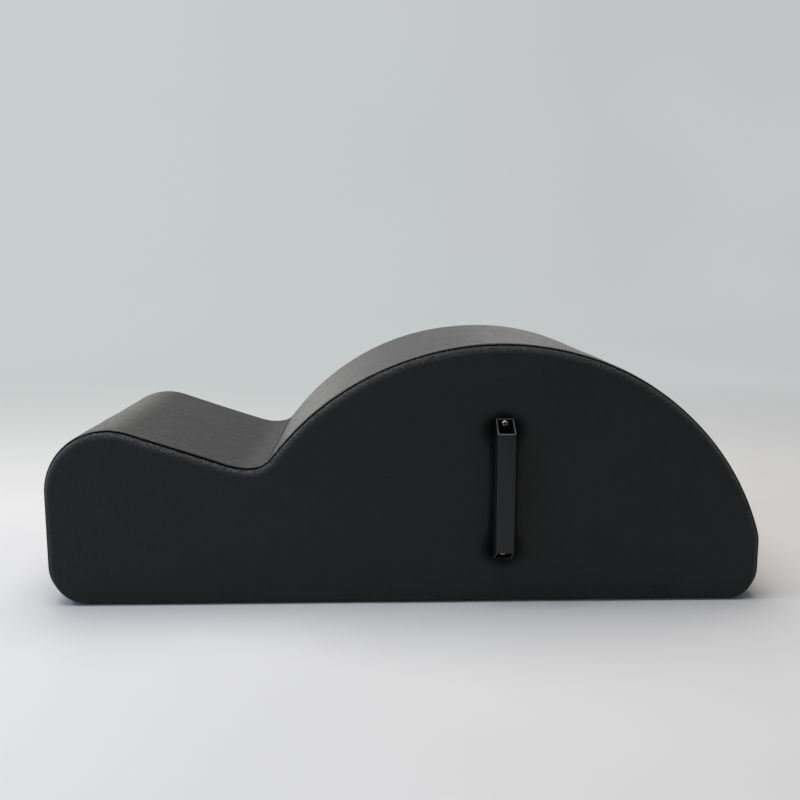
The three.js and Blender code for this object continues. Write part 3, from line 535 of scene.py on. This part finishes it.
def band_seam(stretch):
    """Way along and distance from the nearest seam, for each point of a cover and again for its inner face.
    Near the crease the way runs across the band, and the distance is a little less than how far the crease
    is. The ways of the crease and of the rear seam start far along, so that no two seams pucker alike."""
    place, _, angle = across_band(BAND_HALF, *BAND_GRID)
    sideways = (BAND_HALF - np.abs(place) + BAND_ROLL * (1 - 2 / np.pi) * (1 - 2 * angle / np.pi))[None, :]
    from_crease = CREASE_REACH * (stretch.away - stretch.away[0])[:, None] + CREASE_GAP
    way = np.where(from_crease < sideways, place[None, :] + CREASE_WAY,
                   stretch.away[:, None] + REAR_WAY * (place > 0)[None, :])
    both = np.stack([way, np.minimum(from_crease, sideways)], axis=-1).reshape(-1, 2)
    return np.vstack([both, both])


for name, stretch, inwards, finish in (("step", over_step(), 1, step_leather),
                                       ("barrel", over_barrel(), -1, barrel_leather)):
    stretch.lengthened(inwards)
    shell = between_faces(band(stretch, BAND_HALF, 0.0), band(stretch, BAND_HALF, SKIN))
    cover = make_piece(f"{name}_leather", *shell, finish, "cover", band_seam(stretch))
    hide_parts(f"{name}_cover")


# Side covers and the foam behind them. A flat padded panel closes each side, its edge rolled round to the
# seam. The handle's screws pull its foot into the padding, deepest at both ends.
BOARD_OUT, GLUE_GAP, PANEL_START = 0.1874, 0.0003, 0.1907
# The panel's edge: its width, and the powers by which it falls and its rings crowd towards the seam.
SIDE_ROLL, EDGE_FALL, EDGE_CROWD, EDGE_RINGS = 0.0115, 2.2, 1.25, 10
SIDE_CROWN, SIDE_SWELL = 0.0006, 0.8
OFF_CROWN = 0.003  # from the dome's crown to the handle's middle
HANDLE_X = LOW_END + STEP_LENGTH + CROWN_SHARE * (LENGTH - STEP_LENGTH) + OFF_CROWN
HANDLE_Z, HANDLE_BACK, HANDLE_WIDTH = 0.445 * BARREL_HEIGHT, 0.2, 0.025
# How deep the handle presses the padding, how wide the margin round its foot is, and what the screws add.
BED_DEPTH, BED_GAP, BED_MARGIN, BED_FALL = 0.003, 0.0005, 0.007, 1.7
PULL_REACH, PULL_MARGIN, PULL_SHARE = 0.04, 0.018, 1.2
EDGE_WIDTH, FAR_FROM_SEAM = 0.018, 0.03  # distances from the seam that the leather's finish reads
BASE_POINTS, LOOP_POINTS = 330, 24000  # along the base, and on the scale for looking up places


def drawn_in(x, z):
    """How the handle's foot draws the padding in. The first value is the share of the bed's depth: 1 under
    the foot, and from its edge what is left of a margin, to the power of 1.7. The margin widens and the bed
    deepens towards both ends, where the screws pull. The second value is the share of painted shade in a halo
    round each end of the foot."""
    straight = (HANDLE_BACK - HANDLE_WIDTH) / 2
    up = np.abs(z - HANDLE_Z)
    away = np.hypot(x - HANDLE_X, np.maximum(up - straight, 0)) - HANDLE_WIDTH / 2 - BED_GAP
    pull = smooth_step(np.clip(1 - np.abs(up - straight) / PULL_REACH, 0, 1))
    left = 1 - np.clip(away / (BED_MARGIN + PULL_MARGIN * pull), 0, 1)
    return (1 + PULL_SHARE * pull) * left ** BED_FALL, pull * left


class Loop:
    """The closed outline of a side: up the low end, over the top, down the high end, and back along the base.
    Gives the point, outward vector and tuck at any distance along it."""

    def __init__(self):
        base = np.linspace(TOE_X, HEEL_X, BASE_POINTS)[1:-1]
        line = np.vstack([soft_line, np.stack([base, np.full_like(base, BASE_LINE)], axis=1)])
        out = np.vstack([soft_out, np.repeat([[0.0, -1.0]], len(base), axis=0)])
        line, out = np.vstack([line, line[:1]]), np.vstack([out, out[:1]])
        self.run = run_along(line)
        self.table = np.hstack([line, out])

    def at(self, run):
        values = read_off(run % self.run[-1], self.run, self.table)
        out = values[..., 2:] / np.linalg.norm(values[..., 2:], axis=-1, keepdims=True)
        return values[..., :2], out, tucked(out[..., 1])

    def inset(self, run, depth):
        """Points further in by the depth times the tuck."""
        line, out, tuck = self.at(run)
        return line - (depth * tuck)[..., None] * out


loop = Loop()


def rule_panel(spacing):
    """A grid over the flat of a side, and the distance along the loop of its border points. Each column runs
    straight up from the lower edge to the upper edge. The columns stand where evenly spaced points of the
    upper edge stand, which crowds them where the ends are round. The ends' own columns are what lies within
    0.02 mm of the furthest point."""
    depth, upright = SEAM_DEPTH + SIDE_ROLL, 2e-5
    fine = np.linspace(0, loop.run[-1], LOOP_POINTS)
    x = loop.inset(fine, depth)[:, 0]
    low_end, high_end = x < x.min() + upright, x > x.max() - upright
    left_low, left_high = fine[low_end].min(), fine[low_end].max()
    right_high, right_low = fine[high_end].min(), fine[high_end].max()
    upper = np.linspace(left_high, right_high, int((right_high - left_high) / spacing) + 1)
    columns = loop.inset(upper, depth)[:, 0]
    lower_way = np.linspace(left_low + loop.run[-1], right_low, LOOP_POINTS)
    lower = np.interp(columns, loop.inset(lower_way, depth)[:, 0], lower_way)
    lower[0], lower[-1] = lower_way[0], lower_way[-1]
    rows = int((BARREL_HEIGHT - 2 * depth) / spacing)
    left, right = np.linspace(left_low, left_high, rows), np.linspace(right_low, right_high, rows)
    bottom, top = loop.inset(lower, depth), loop.inset(upper, depth)
    share = np.linspace(0, 1, rows)[None, :, None]
    grid = bottom[:, None] * (1 - share) + top[:, None] * share
    grid[0], grid[-1] = loop.inset(left, depth), loop.inset(right, depth)
    return grid, (lower, right, upper, left)


def panel_face(side, under, grid, ways):
    """One face of a side panel, `under` below the cover's: the flat, pressed in round the handle's foot, and
    rings round it that go down the rolled edge to the seam. The rings run along the bottom, up the right,
    back along the top and down the left. The edge falls by the share left of its width, raised to the power
    of 2.2. Returns the points, the faces, the outermost ring, and each point's way along the seam and
    distance from it."""
    index = numbered(grid)
    ring = np.concatenate([index[:-1, 0], index[-1, :-1], index[:0:-1, -1], index[0, :0:-1]])
    lower, right, upper, left = ways
    way = np.concatenate([lower[:-1], right[:-1], upper[:0:-1], left[:0:-1]])
    x, z = grid[..., 0], grid[..., 1]
    dent, _ = drawn_in(x, z)
    bulge = (SIDE_CROWN + SIDE_SWELL * swell(x, z)) * np.clip(1 - dent, 0, 1)
    out = WIDTH / 2 - under - BED_DEPTH * dent + bulge
    points = [np.stack([x, side * out, z], axis=-1).reshape(-1, 3)]
    edge = out.ravel()[ring]
    line, outs, tuck = loop.at(way)
    shares = np.append(np.linspace(1, 0, EDGE_RINGS) ** EDGE_CROWD, 0.0)
    sinks = np.append(np.zeros(EDGE_RINGS), SEAM_SINK)
    for share, sink in zip(shares[1:], sinks[1:]):
        inset = (SEAM_DEPTH + sink) * tuck + under + (SIDE_ROLL * tuck - under) * share
        flat = line - inset[:, None] * outs
        out = PANEL_START + (edge - PANEL_START) * (1 - (1 - share) ** EDGE_FALL)
        points.append(np.stack([flat[:, 0], side * out, flat[:, 1]], axis=-1))
    count, size = index.size, len(ring)
    rings = np.vstack([ring, count + np.arange(EDGE_RINGS * size).reshape(-1, size)])
    quads = [grid_faces(index)]
    for inside, outside in zip(rings[:-1], rings[1:]):
        quads.append(np.stack([np.roll(inside, -1), inside, outside, np.roll(outside, -1)], axis=-1))
    gaps = EDGE_WIDTH * shares
    seam = [np.full((count, 2), FAR_FROM_SEAM)]
    seam[0][ring] = np.stack([way, np.full(size, gaps[0])], axis=-1)
    seam += [np.stack([way, np.full(size, gap)], axis=-1) for gap in gaps[1:]]
    return np.vstack(points), np.vstack(quads), rings[-1], np.vstack(seam)


def panel(side, spacing, under=0.0, flat_back=None):
    """A closed panel: its face, and its back, either the face again a leather's thickness further in or, for
    the foam, a flat plane at a distance from the middle."""
    grid, ways = rule_panel(spacing)
    outer, quads, rim, seam = panel_face(side, under, grid, ways)
    if flat_back is None:
        inner, _, _, _ = panel_face(side, under + SKIN, grid, ways)
    else:
        inner = outer.copy()
        inner[:, 1] = side * flat_back
    other = len(outer)
    faces = np.vstack([quads, quads[:, ::-1] + other, edge_strip(rim, other)[:, ::-1]])
    return np.vstack([outer, inner]), faces, np.vstack([seam, seam])


for side, name in SIDES:
    points, faces, seam = panel(side, 0.0035)
    # Round each end of the handle, the leather takes a halo of painted shade.
    _, halo_shade = drawn_in(points[:, 0], points[:, 2])
    cover = make_piece(f"side_leather_{name}", points, faces, side_leather, "cover", seam, halo_shade=halo_shade)
    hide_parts(f"side_cover_{name}")
    points, faces, _ = panel(side, 0.009, PAD_OUT, BOARD_OUT + GLUE_GAP)
    pad = make_piece(f"side_foam_{name}", points, faces, foam.material, "foam")
    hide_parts(f"side_pad_{name}")


# Seam threads. Waxed black polyester thread joins the covers: a run of lockstitches lies in each long seam
# and another in the crease, every stitch a small lump that dips into the leather at both ends.
SEAM_HALF, SEAM_THREAD, CREASE_THREAD, STITCH, WAIST = 0.19, 0.00065, 0.00045, 0.004, 0.45
thread = Finish("waxed_thread")
twist = thread.node("TexWave", Vector=thread.place, Scale=900.0, Distortion=2.0, bands_direction="DIAGONAL")
thread.use(Base_Color=thread.mix(twist, (0.003, 0.003, 0.0032), (0.010, 0.010, 0.0105)),
           Roughness=thread.ramp(twist, 0.0, 1.0, 0.5, 0.75), Normal=thread.relief(twist, 0.0001))


def tube_faces(index):
    """Faces of four corners of a tube, given by the indices of its rings of points, one ring in each row."""
    return np.stack([index[:-1], index[1:], np.roll(index[1:], -1, axis=1), np.roll(index[:-1], -1, axis=1)],
                    axis=-1).reshape(-1, 4)


def stitched(line, out, sideways, radius, sides=8):
    """A thread along a line: rings of points round it, whose radius grows once a stitch from its waist with
    the size of a sine to the power of 0.6, and almost vanishes at both ends."""
    run = run_along(line)
    even = np.arange(0, run[-1], STITCH / 5)
    table = read_off(even, run, np.hstack([line, out]))
    centre, up = table[:, :3], table[:, 3:] / np.linalg.norm(table[:, 3:], axis=1, keepdims=True)
    lump = np.abs(np.sin(np.pi * even / STITCH)) ** 0.6
    size = radius * (WAIST + (1 - WAIST) * lump)
    size[0] = size[-1] = radius * 0.02
    angle = np.linspace(0, 2 * np.pi, sides, endpoint=False)
    offset = np.cos(angle)[None, :, None] * up[:, None] + np.sin(angle)[None, :, None] * np.asarray(sideways)
    points = centre[:, None] + size[:, None, None] * offset
    return closed_tube(points)


def closed_tube(rings):
    """A tube through rings of points, its ends closed by faces that span the ring like a ladder's rungs."""
    index, sides = numbered(rings), rings.shape[1]
    rungs = np.arange(sides // 2 - 1)
    ladder = np.stack([rungs, rungs + 1, sides - 2 - rungs, sides - 1 - rungs], axis=-1)
    return rings.reshape(-1, 3), np.vstack([tube_faces(index), index[0][ladder], index[-1][ladder[:, ::-1]]])


in_groove = (SEAM_DEPTH + 0.7 * SEAM_SINK) * tucked(soft_out[:, 1:])
for side, name in SIDES:
    flat = soft_line - in_groove * soft_out
    line = np.stack([flat[:, 0], np.full(len(flat), side * SEAM_HALF), flat[:, 1]], axis=1)
    up = np.stack([soft_out[:, 0], np.zeros(len(flat)), soft_out[:, 1]], axis=1)
    shape = stitched(line, up, (0, 1, 0), SEAM_THREAD)
    stitches = make_piece(f"seam_stitches_{name}", *shape, thread.material, "thread")
    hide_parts(f"seam_thread_{name}")

crease_half = SEAM_HALF - 0.0006  # the crease's thread ends just short of the seams' threads
across = np.linspace(-crease_half, crease_half, 200)
middle = crease_share(across, BAND_HALF)[:, None]
crease_line = step_line[-1] * middle + soft_line[CREASE] * (1 - middle)
flat = crease_line - CREASE_DEPTH * crease_kept(middle) * crease_out
line = np.stack([flat[:, 0], across, flat[:, 1]], axis=1)
up = np.repeat([[crease_out[0], 0, crease_out[1]]], len(line), axis=0)
shape = stitched(line, up, (crease_out[1], 0, -crease_out[0]), CREASE_THREAD)
stitches = make_piece("crease_stitches", *shape, thread.material, "thread")
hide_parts("crease_thread")


# Base cloth. A thin black coated cloth is stretched flat under the base board and stapled over the folded
# ends of the covers, to keep dust out. The whole object rests on it.
CLOTH_LOWER, CLOTH_UPPER, CLOTH_SAG, STAPLE_SPACING, STAPLE_FADE = 0.0003, 0.0012, 0.0001, 0.05, 0.02
cloth = Finish("base_dustcloth")
warp = cloth.node("TexWave", Vector=cloth.place, Scale=420.0, bands_direction="X")
weft = cloth.node("TexWave", Vector=cloth.place, Scale=420.0, bands_direction="Y")
weave = cloth.times(warp, weft)
dust = cloth.noise(24.0, 4.0, 0.6)
dusty = cloth.ramp(dust, 0.45, 0.8, 0, 0.5)
cloth.use(Base_Color=cloth.mix(dusty, (0.020, 0.020, 0.021), (0.055, 0.053, 0.050)),
          Roughness=cloth.ramp(weave, 0, 1, 0.75, 0.95), Normal=cloth.relief(weave, 0.00025))


def dust_sheet():
    """Two faces of a thin sheet: x and y on an even grid, and a height that sags by a tenth of a millimetre,
    and along its edges by up to twice that between the staples, which dies away within 2 cm or so."""
    x, y = np.meshgrid(np.linspace(HEEL_X, TOE_X, 160), np.linspace(-BOARD_OUT, BOARD_OUT, 60), indexing="ij")
    staples = np.sin(2 * np.pi * x / STAPLE_SPACING) * np.exp(-(BOARD_OUT - np.abs(y)) / STAPLE_FADE)
    sag = CLOTH_SAG * (1 + staples)
    return [np.stack([x, y, height - sag], axis=-1) for height in (CLOTH_LOWER, CLOTH_UPPER)]


base_sheet = make_piece("base_dust_sheet", *between_faces(*dust_sheet()), cloth.material, "base_cloth")
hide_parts("base_cloth")


# Handles. Each is a piece of 25 by 28 mm steel tube with 2 mm walls, both ends sawn at a slope from the
# longer back wall to the shorter face, then powder coated in satin black. The sawn rims are grey in patches,
# which is a thin coat rubbed through and also a painted highlight, and the inside of the tube is painted
# darker as painted shade.
HANDLE_FACE, HANDLE_DEPTH, HANDLE_SEAT = 0.164, 0.028, 0.1973
HANDLE_WALL, HANDLE_CORNER, HANDLE_INNER_CORNER = 0.002, 0.002, 0.0005
coat = Finish("black_powder_coat", Specular_IOR_Level=0.35, IOR=1.5)
orange_peel = coat.noise(900.0, 3.0, 0.55)
rub = coat.noise(60.0, 4.0, 0.6)
wall_depth = coat.node("SeparateXYZ", coat.node("UVMap", uv_map="seam"))
rim = coat.math("SUBTRACT", 1.0, coat.math("ABSOLUTE", coat.math("SUBTRACT", wall_depth, 0.5)))
# The grey on the sawn rims, in patches: a thin coat rubbed through, and a painted highlight.
painted_glint_and_wear = coat.times(coat.ramp(rim, 0.55, 0.75), coat.ramp(rub, 0.35, 0.6, 0.25, 1.0))
# Painted shade: the inside of the tube turns near black, dull and mostly metal.
inside = coat.ramp(wall_depth, 0.9, 1.0)
coated = coat.mix(inside, (0.0095, 0.0105, 0.0115), (0.003, 0.003, 0.0032))
gloss = coat.add(coat.ramp(rub, 0.3, 0.7, 0.36, 0.48), coat.times(inside, 0.35))
coat.use(Base_Color=coat.mix(painted_glint_and_wear, coated, (0.10, 0.104, 0.108)), Roughness=gloss,
         Metallic=coat.times(inside, 0.85), Normal=coat.relief(orange_peel, 0.00006))


def tube_wall(rim_radius=0.0004, ring_count=56):
    """The wall of the tube as a grid that closes both ways. Round the tube runs a rectangle with round
    corners, drawn further in by the depth into the wall. Across it runs the wall's own section: up the
    outside, over the rounded rim of the top, down the inside and over the rim of the bottom. The end of each
    line is where it meets the sloped cut. Returns the places and the share of the wall's depth."""
    turn = np.linspace(0, np.pi / 2, 4)
    rise = np.stack([rim_radius * (1 - np.cos(turn)), -rim_radius * (1 - np.sin(turn))], axis=1)
    top = np.vstack([rise, np.stack([HANDLE_WALL - rise[::-1, 0], rise[::-1, 1]], axis=1)])
    lengthways = np.linspace(1, -1, 9)[1:-1]
    level, rim = np.zeros(len(lengthways)), np.ones(len(top))
    depth = np.concatenate([top[:, 0], level + HANDLE_WALL, top[::-1, 0], level])
    short = np.concatenate([top[:, 1], level, top[::-1, 1], level])
    along = np.concatenate([rim, lengthways, -rim, -lengthways])
    angle = np.linspace(0, 2 * np.pi, ring_count, endpoint=False) + np.pi / ring_count
    corner = (HANDLE_CORNER + (HANDLE_INNER_CORNER - HANDLE_CORNER) * depth / HANDLE_WALL)[:, None]
    x = np.sign(np.cos(angle)) * (HANDLE_WIDTH / 2 - depth[:, None] - corner) + corner * np.cos(angle)
    out = np.sign(np.sin(angle)) * (HANDLE_DEPTH / 2 - depth[:, None] - corner) + corner * np.sin(angle)
    share = (out + HANDLE_DEPTH / 2) / HANDLE_DEPTH
    reach = (HANDLE_BACK + (HANDLE_FACE - HANDLE_BACK) * share) / 2
    deep = np.broadcast_to(depth[:, None] / HANDLE_WALL, x.shape)
    return x, out, along[:, None] * (reach + short[:, None]), deep


for side, name in SIDES:
    x, out, up, deep = tube_wall()
    points = np.stack([HANDLE_X + x, side * (HANDLE_SEAT + HANDLE_DEPTH / 2 + out), HANDLE_Z + up], axis=-1)
    index = numbered(x)
    quads = tube_faces(np.vstack([index, index[:1]]))
    seam = np.stack([deep, 0 * x], axis=-1).reshape(-1, 2)
    handle = make_piece(f"tube_handle_{name}", points.reshape(-1, 3), quads, coat.material, "handle", seam,
                        crisp=40)
    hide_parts(f"handle_{name}")


# Handle screws. Pan-head machine screws with a cross recess hold each handle's back wall at both ends. They
# run through the padding and the side board into the T-nuts, and are bright zinc-plated steel.
SCREW_SPACING, SCREW_LIFT, SCREW_GAP = 0.181, 0.0025, 0.0003
HEAD_RADIUS, HEAD_HEIGHT, HEAD_RIM, HEAD_ROUND = 0.0044, 0.003, 0.35, 2.6
SCREW_RADIUS, SCREW_LENGTH, PITCH, THREAD_DEPTH = 0.0025, 0.0302, 0.0008, 0.00042
PLAIN_SHANK, RUN_OUT = 0.004, 0.001
# The cross recess: half its arms' width and length, how far their sides and ends slope, and its depth.
ARM_HALF, ARM_REACH, ARM_SLOPE, ARM_END, RECESS_DEPTH = 0.0011, 0.0033, 0.0003, 0.0005, 0.0017


def screw_surface(sides=48):
    """A screw as one surface of the way down from the middle of its head and the angle round it. Down the
    head the radius grows and the height falls as a blunt quarter ellipse to 35% of the head's height, less
    the recess, which is as deep as two crossed arms with sloping sides. The shank's radius follows a helix:
    it falls with the sawtooth of the height over the pitch less the share of a turn. Returns the place and,
    as a UV map, the share of the recess's depth."""
    angle = np.linspace(0, 2 * np.pi, sides, endpoint=False)[None, :]
    level = 0 * angle
    radial = np.linspace(0.015, 1, 26)[:, None]
    radius = HEAD_RADIUS * radial + level
    dome = np.sqrt(np.clip(1 - radial ** HEAD_ROUND, 0, 1))
    height = HEAD_HEIGHT * (HEAD_RIM + (1 - HEAD_RIM) * dome) + level
    a, b = np.abs(radius * np.cos(angle)), np.abs(radius * np.sin(angle))
    arm = lambda near, far: (np.clip((ARM_HALF - near) / ARM_SLOPE, 0, 1)
                             * np.clip((ARM_REACH - far) / ARM_END, 0, 1))
    recess = np.maximum(arm(a, b), arm(b, a))
    height = height - RECESS_DEPTH * recess
    shank = np.linspace(-0.0002, -SCREW_LENGTH, 230)[:, None]
    groove = THREAD_DEPTH * np.abs(2 * np.mod(-shank / PITCH - angle / (2 * np.pi), 1.0) - 1)
    cut = np.clip((-shank - PLAIN_SHANK) / RUN_OUT, 0, 1) * np.clip((SCREW_LENGTH + shank) / RUN_OUT, 0.3, 1)
    rows = [(radius, height), (HEAD_RADIUS + level, level), (SCREW_RADIUS + level, level),
            (SCREW_RADIUS - groove * cut, shank + level),
            (SCREW_RADIUS * 0.02 + level, -SCREW_LENGTH + level)]
    radius, height = (np.vstack(column) for column in zip(*rows))
    deep = np.vstack([recess, np.zeros((len(radius) - len(recess), sides))])
    deep = np.stack([deep, 0 * deep], axis=-1).reshape(-1, 2)
    return radius * np.cos(angle), radius * np.sin(angle), height, deep


for side, name in SIDES:
    for end, place in ((1, "upper"), (-1, "lower")):
        a, b, height, deep = screw_surface()
        seat = HANDLE_SEAT + HANDLE_WALL + SCREW_GAP
        middle = HANDLE_Z + SCREW_LIFT + end * SCREW_SPACING / 2
        shape = closed_tube(np.stack([HANDLE_X + a, side * (seat + height), middle + b], axis=-1))
        screw = make_piece(f"pan_screw_{name}_{place}", *shape, zinc.material, "zinc", deep, crisp=45)
        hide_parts(f"handle_screw_{name}_{place}")


# Studio. A pale painted floor runs back and curves up into a wall, lit softly from above, from behind and
# from the left, where the light is bluer. Far behind the object, the camera and reflections see a glowing
# pale grey in faint clouds, lighter and greener to the left as a painted fall of light.
plaster = Finish("studio_plaster", Roughness=0.9, Specular_IOR_Level=0.1)
mottle = plaster.noise(1.1, 3.0, 0.55)
speck = plaster.noise(700.0, 2.0)
painted = plaster.mix(plaster.ramp(mottle, 0.3, 0.7), (0.617, 0.607, 0.606), (0.662, 0.652, 0.651))
plaster.use(Base_Color=painted, Normal=plaster.relief(speck, 0.0001))
across = plaster.node("SeparateXYZ", plaster.place)
back = across.node.outputs[1]
clouds = plaster.ramp(plaster.noise(0.45, 1.0), 0.35, 0.65, 0, 0.35)
# Painted light: the glowing wall is lighter and greener to the left.
wall_grey = plaster.mix(plaster.ramp(across, -2.4, 2.4), (0.575, 0.628, 0.622), (0.530, 0.545, 0.548))
wall_grey = plaster.mix(clouds, wall_grey, (0.585, 0.592, 0.61))
ray = plaster.node("LightPath")
mirrored = plaster.math("MAXIMUM", ray.node.outputs["Is Glossy Ray"], ray.node.outputs["Is Transmission Ray"])
seen = plaster.math("MAXIMUM", ray, mirrored)
shown = plaster.node("MixShader", plaster.times(seen, plaster.ramp(back, 0.3, 2.2)),
                     plaster.shader.outputs[0], plaster.node("Emission", wall_grey, 1.0))
plaster.tree.links.new(shown, plaster.tree.nodes["Material Output"].inputs["Surface"])


def cove(front=-4.0, curve_start=4.0, radius=2.5, top=7.0, half=40):
    """Floor and wall in one sheet: flat to where the curve begins, a quarter circle, and then straight up."""
    turn = np.linspace(0, np.pi / 2, 40)
    curve = np.stack([curve_start + radius * np.sin(turn), radius * (1 - np.cos(turn))], axis=1)
    profile = np.vstack([[[front, 0.0], [curve_start / 2, 0.0]], curve, [[curve_start + radius, top]]])
    x = np.linspace(-half, half, 20)
    grid = np.stack(np.broadcast_arrays(x[:, None], profile[None, :, 0], profile[None, :, 1]), axis=-1)
    return grid.reshape(-1, 3), grid_faces(numbered(grid))


points, faces = cove()
mesh = bpy.data.meshes.new("studio_cove")
mesh.from_pydata(points.tolist(), [], faces.tolist())
mesh.shade_smooth()
mesh.materials.append(plaster.material)
backdrop = bpy.data.objects.new("studio_cove", mesh)
bpy.context.collection.objects.link(backdrop)


def soft_box(name, place, aim, size, watts, colour):
    """A square lamp at a place, turned to face a point."""
    lamp = bpy.data.lights.new(name, "AREA")
    lamp.shape, lamp.size, lamp.energy, lamp.color = "SQUARE", size, watts, colour
    box = bpy.data.objects.new(name, lamp)
    box.location = place
    x, y, z = np.asarray(place, dtype=float) - aim
    box.rotation_euler = (np.arctan2(np.hypot(x, y), z), 0, np.arctan2(x, -y))
    bpy.context.collection.objects.link(box)


soft_box("overhead", (-0.45, 0.25, 2.9), (0.0, 0.1, 0.0), 3.0, 96, (1.0, 0.97, 0.94))
soft_box("back_window", (-1.9, 3.0, 1.5), (0.0, 0.0, 0.2), 1.3, 16, (1.0, 0.95, 0.89))
soft_box("right_window", (1.0, 3.2, 1.4), (0.0, 0.0, 0.2), 1.2, 2.4, (1.0, 0.93, 0.86))
soft_box("left_window", (-2.2, -0.45, 2.1), (-0.1, -0.15, 0.25), 0.5, 14, (0.80, 0.89, 1.0))
soft_box("left_fill", (-2.4, -1.6, 1.3), (-0.3, 0.0, 0.1), 1.0, 16, (0.33, 0.64, 1.0))
world = bpy.data.worlds.new("studio_air")
world.use_nodes = True
air = world.node_tree.nodes["Background"].inputs
air["Color"].default_value, air["Strength"].default_value = (0.96, 0.985, 0.99, 1), 0.25
bpy.context.scene.world = world
bpy.context.scene.view_settings.view_transform = "Standard"

PICTURE, FOCAL, LOOKS_DOWN, LOOKS_RIGHT = 800, 901.4, 8.603, 1.505  # pixels, pixels, degrees, degrees
lens = bpy.data.cameras.new("studio_camera")
lens.sensor_width, lens.lens = 36.0, 36.0 * FOCAL / PICTURE
camera = bpy.data.objects.new("studio_camera", lens)
camera.location = (-0.0411, -1.4079, 0.471)
camera.rotation_euler = (np.radians(90 - LOOKS_DOWN), 0, np.radians(-LOOKS_RIGHT))
bpy.context.collection.objects.link(camera)
bpy.context.scene.camera = camera
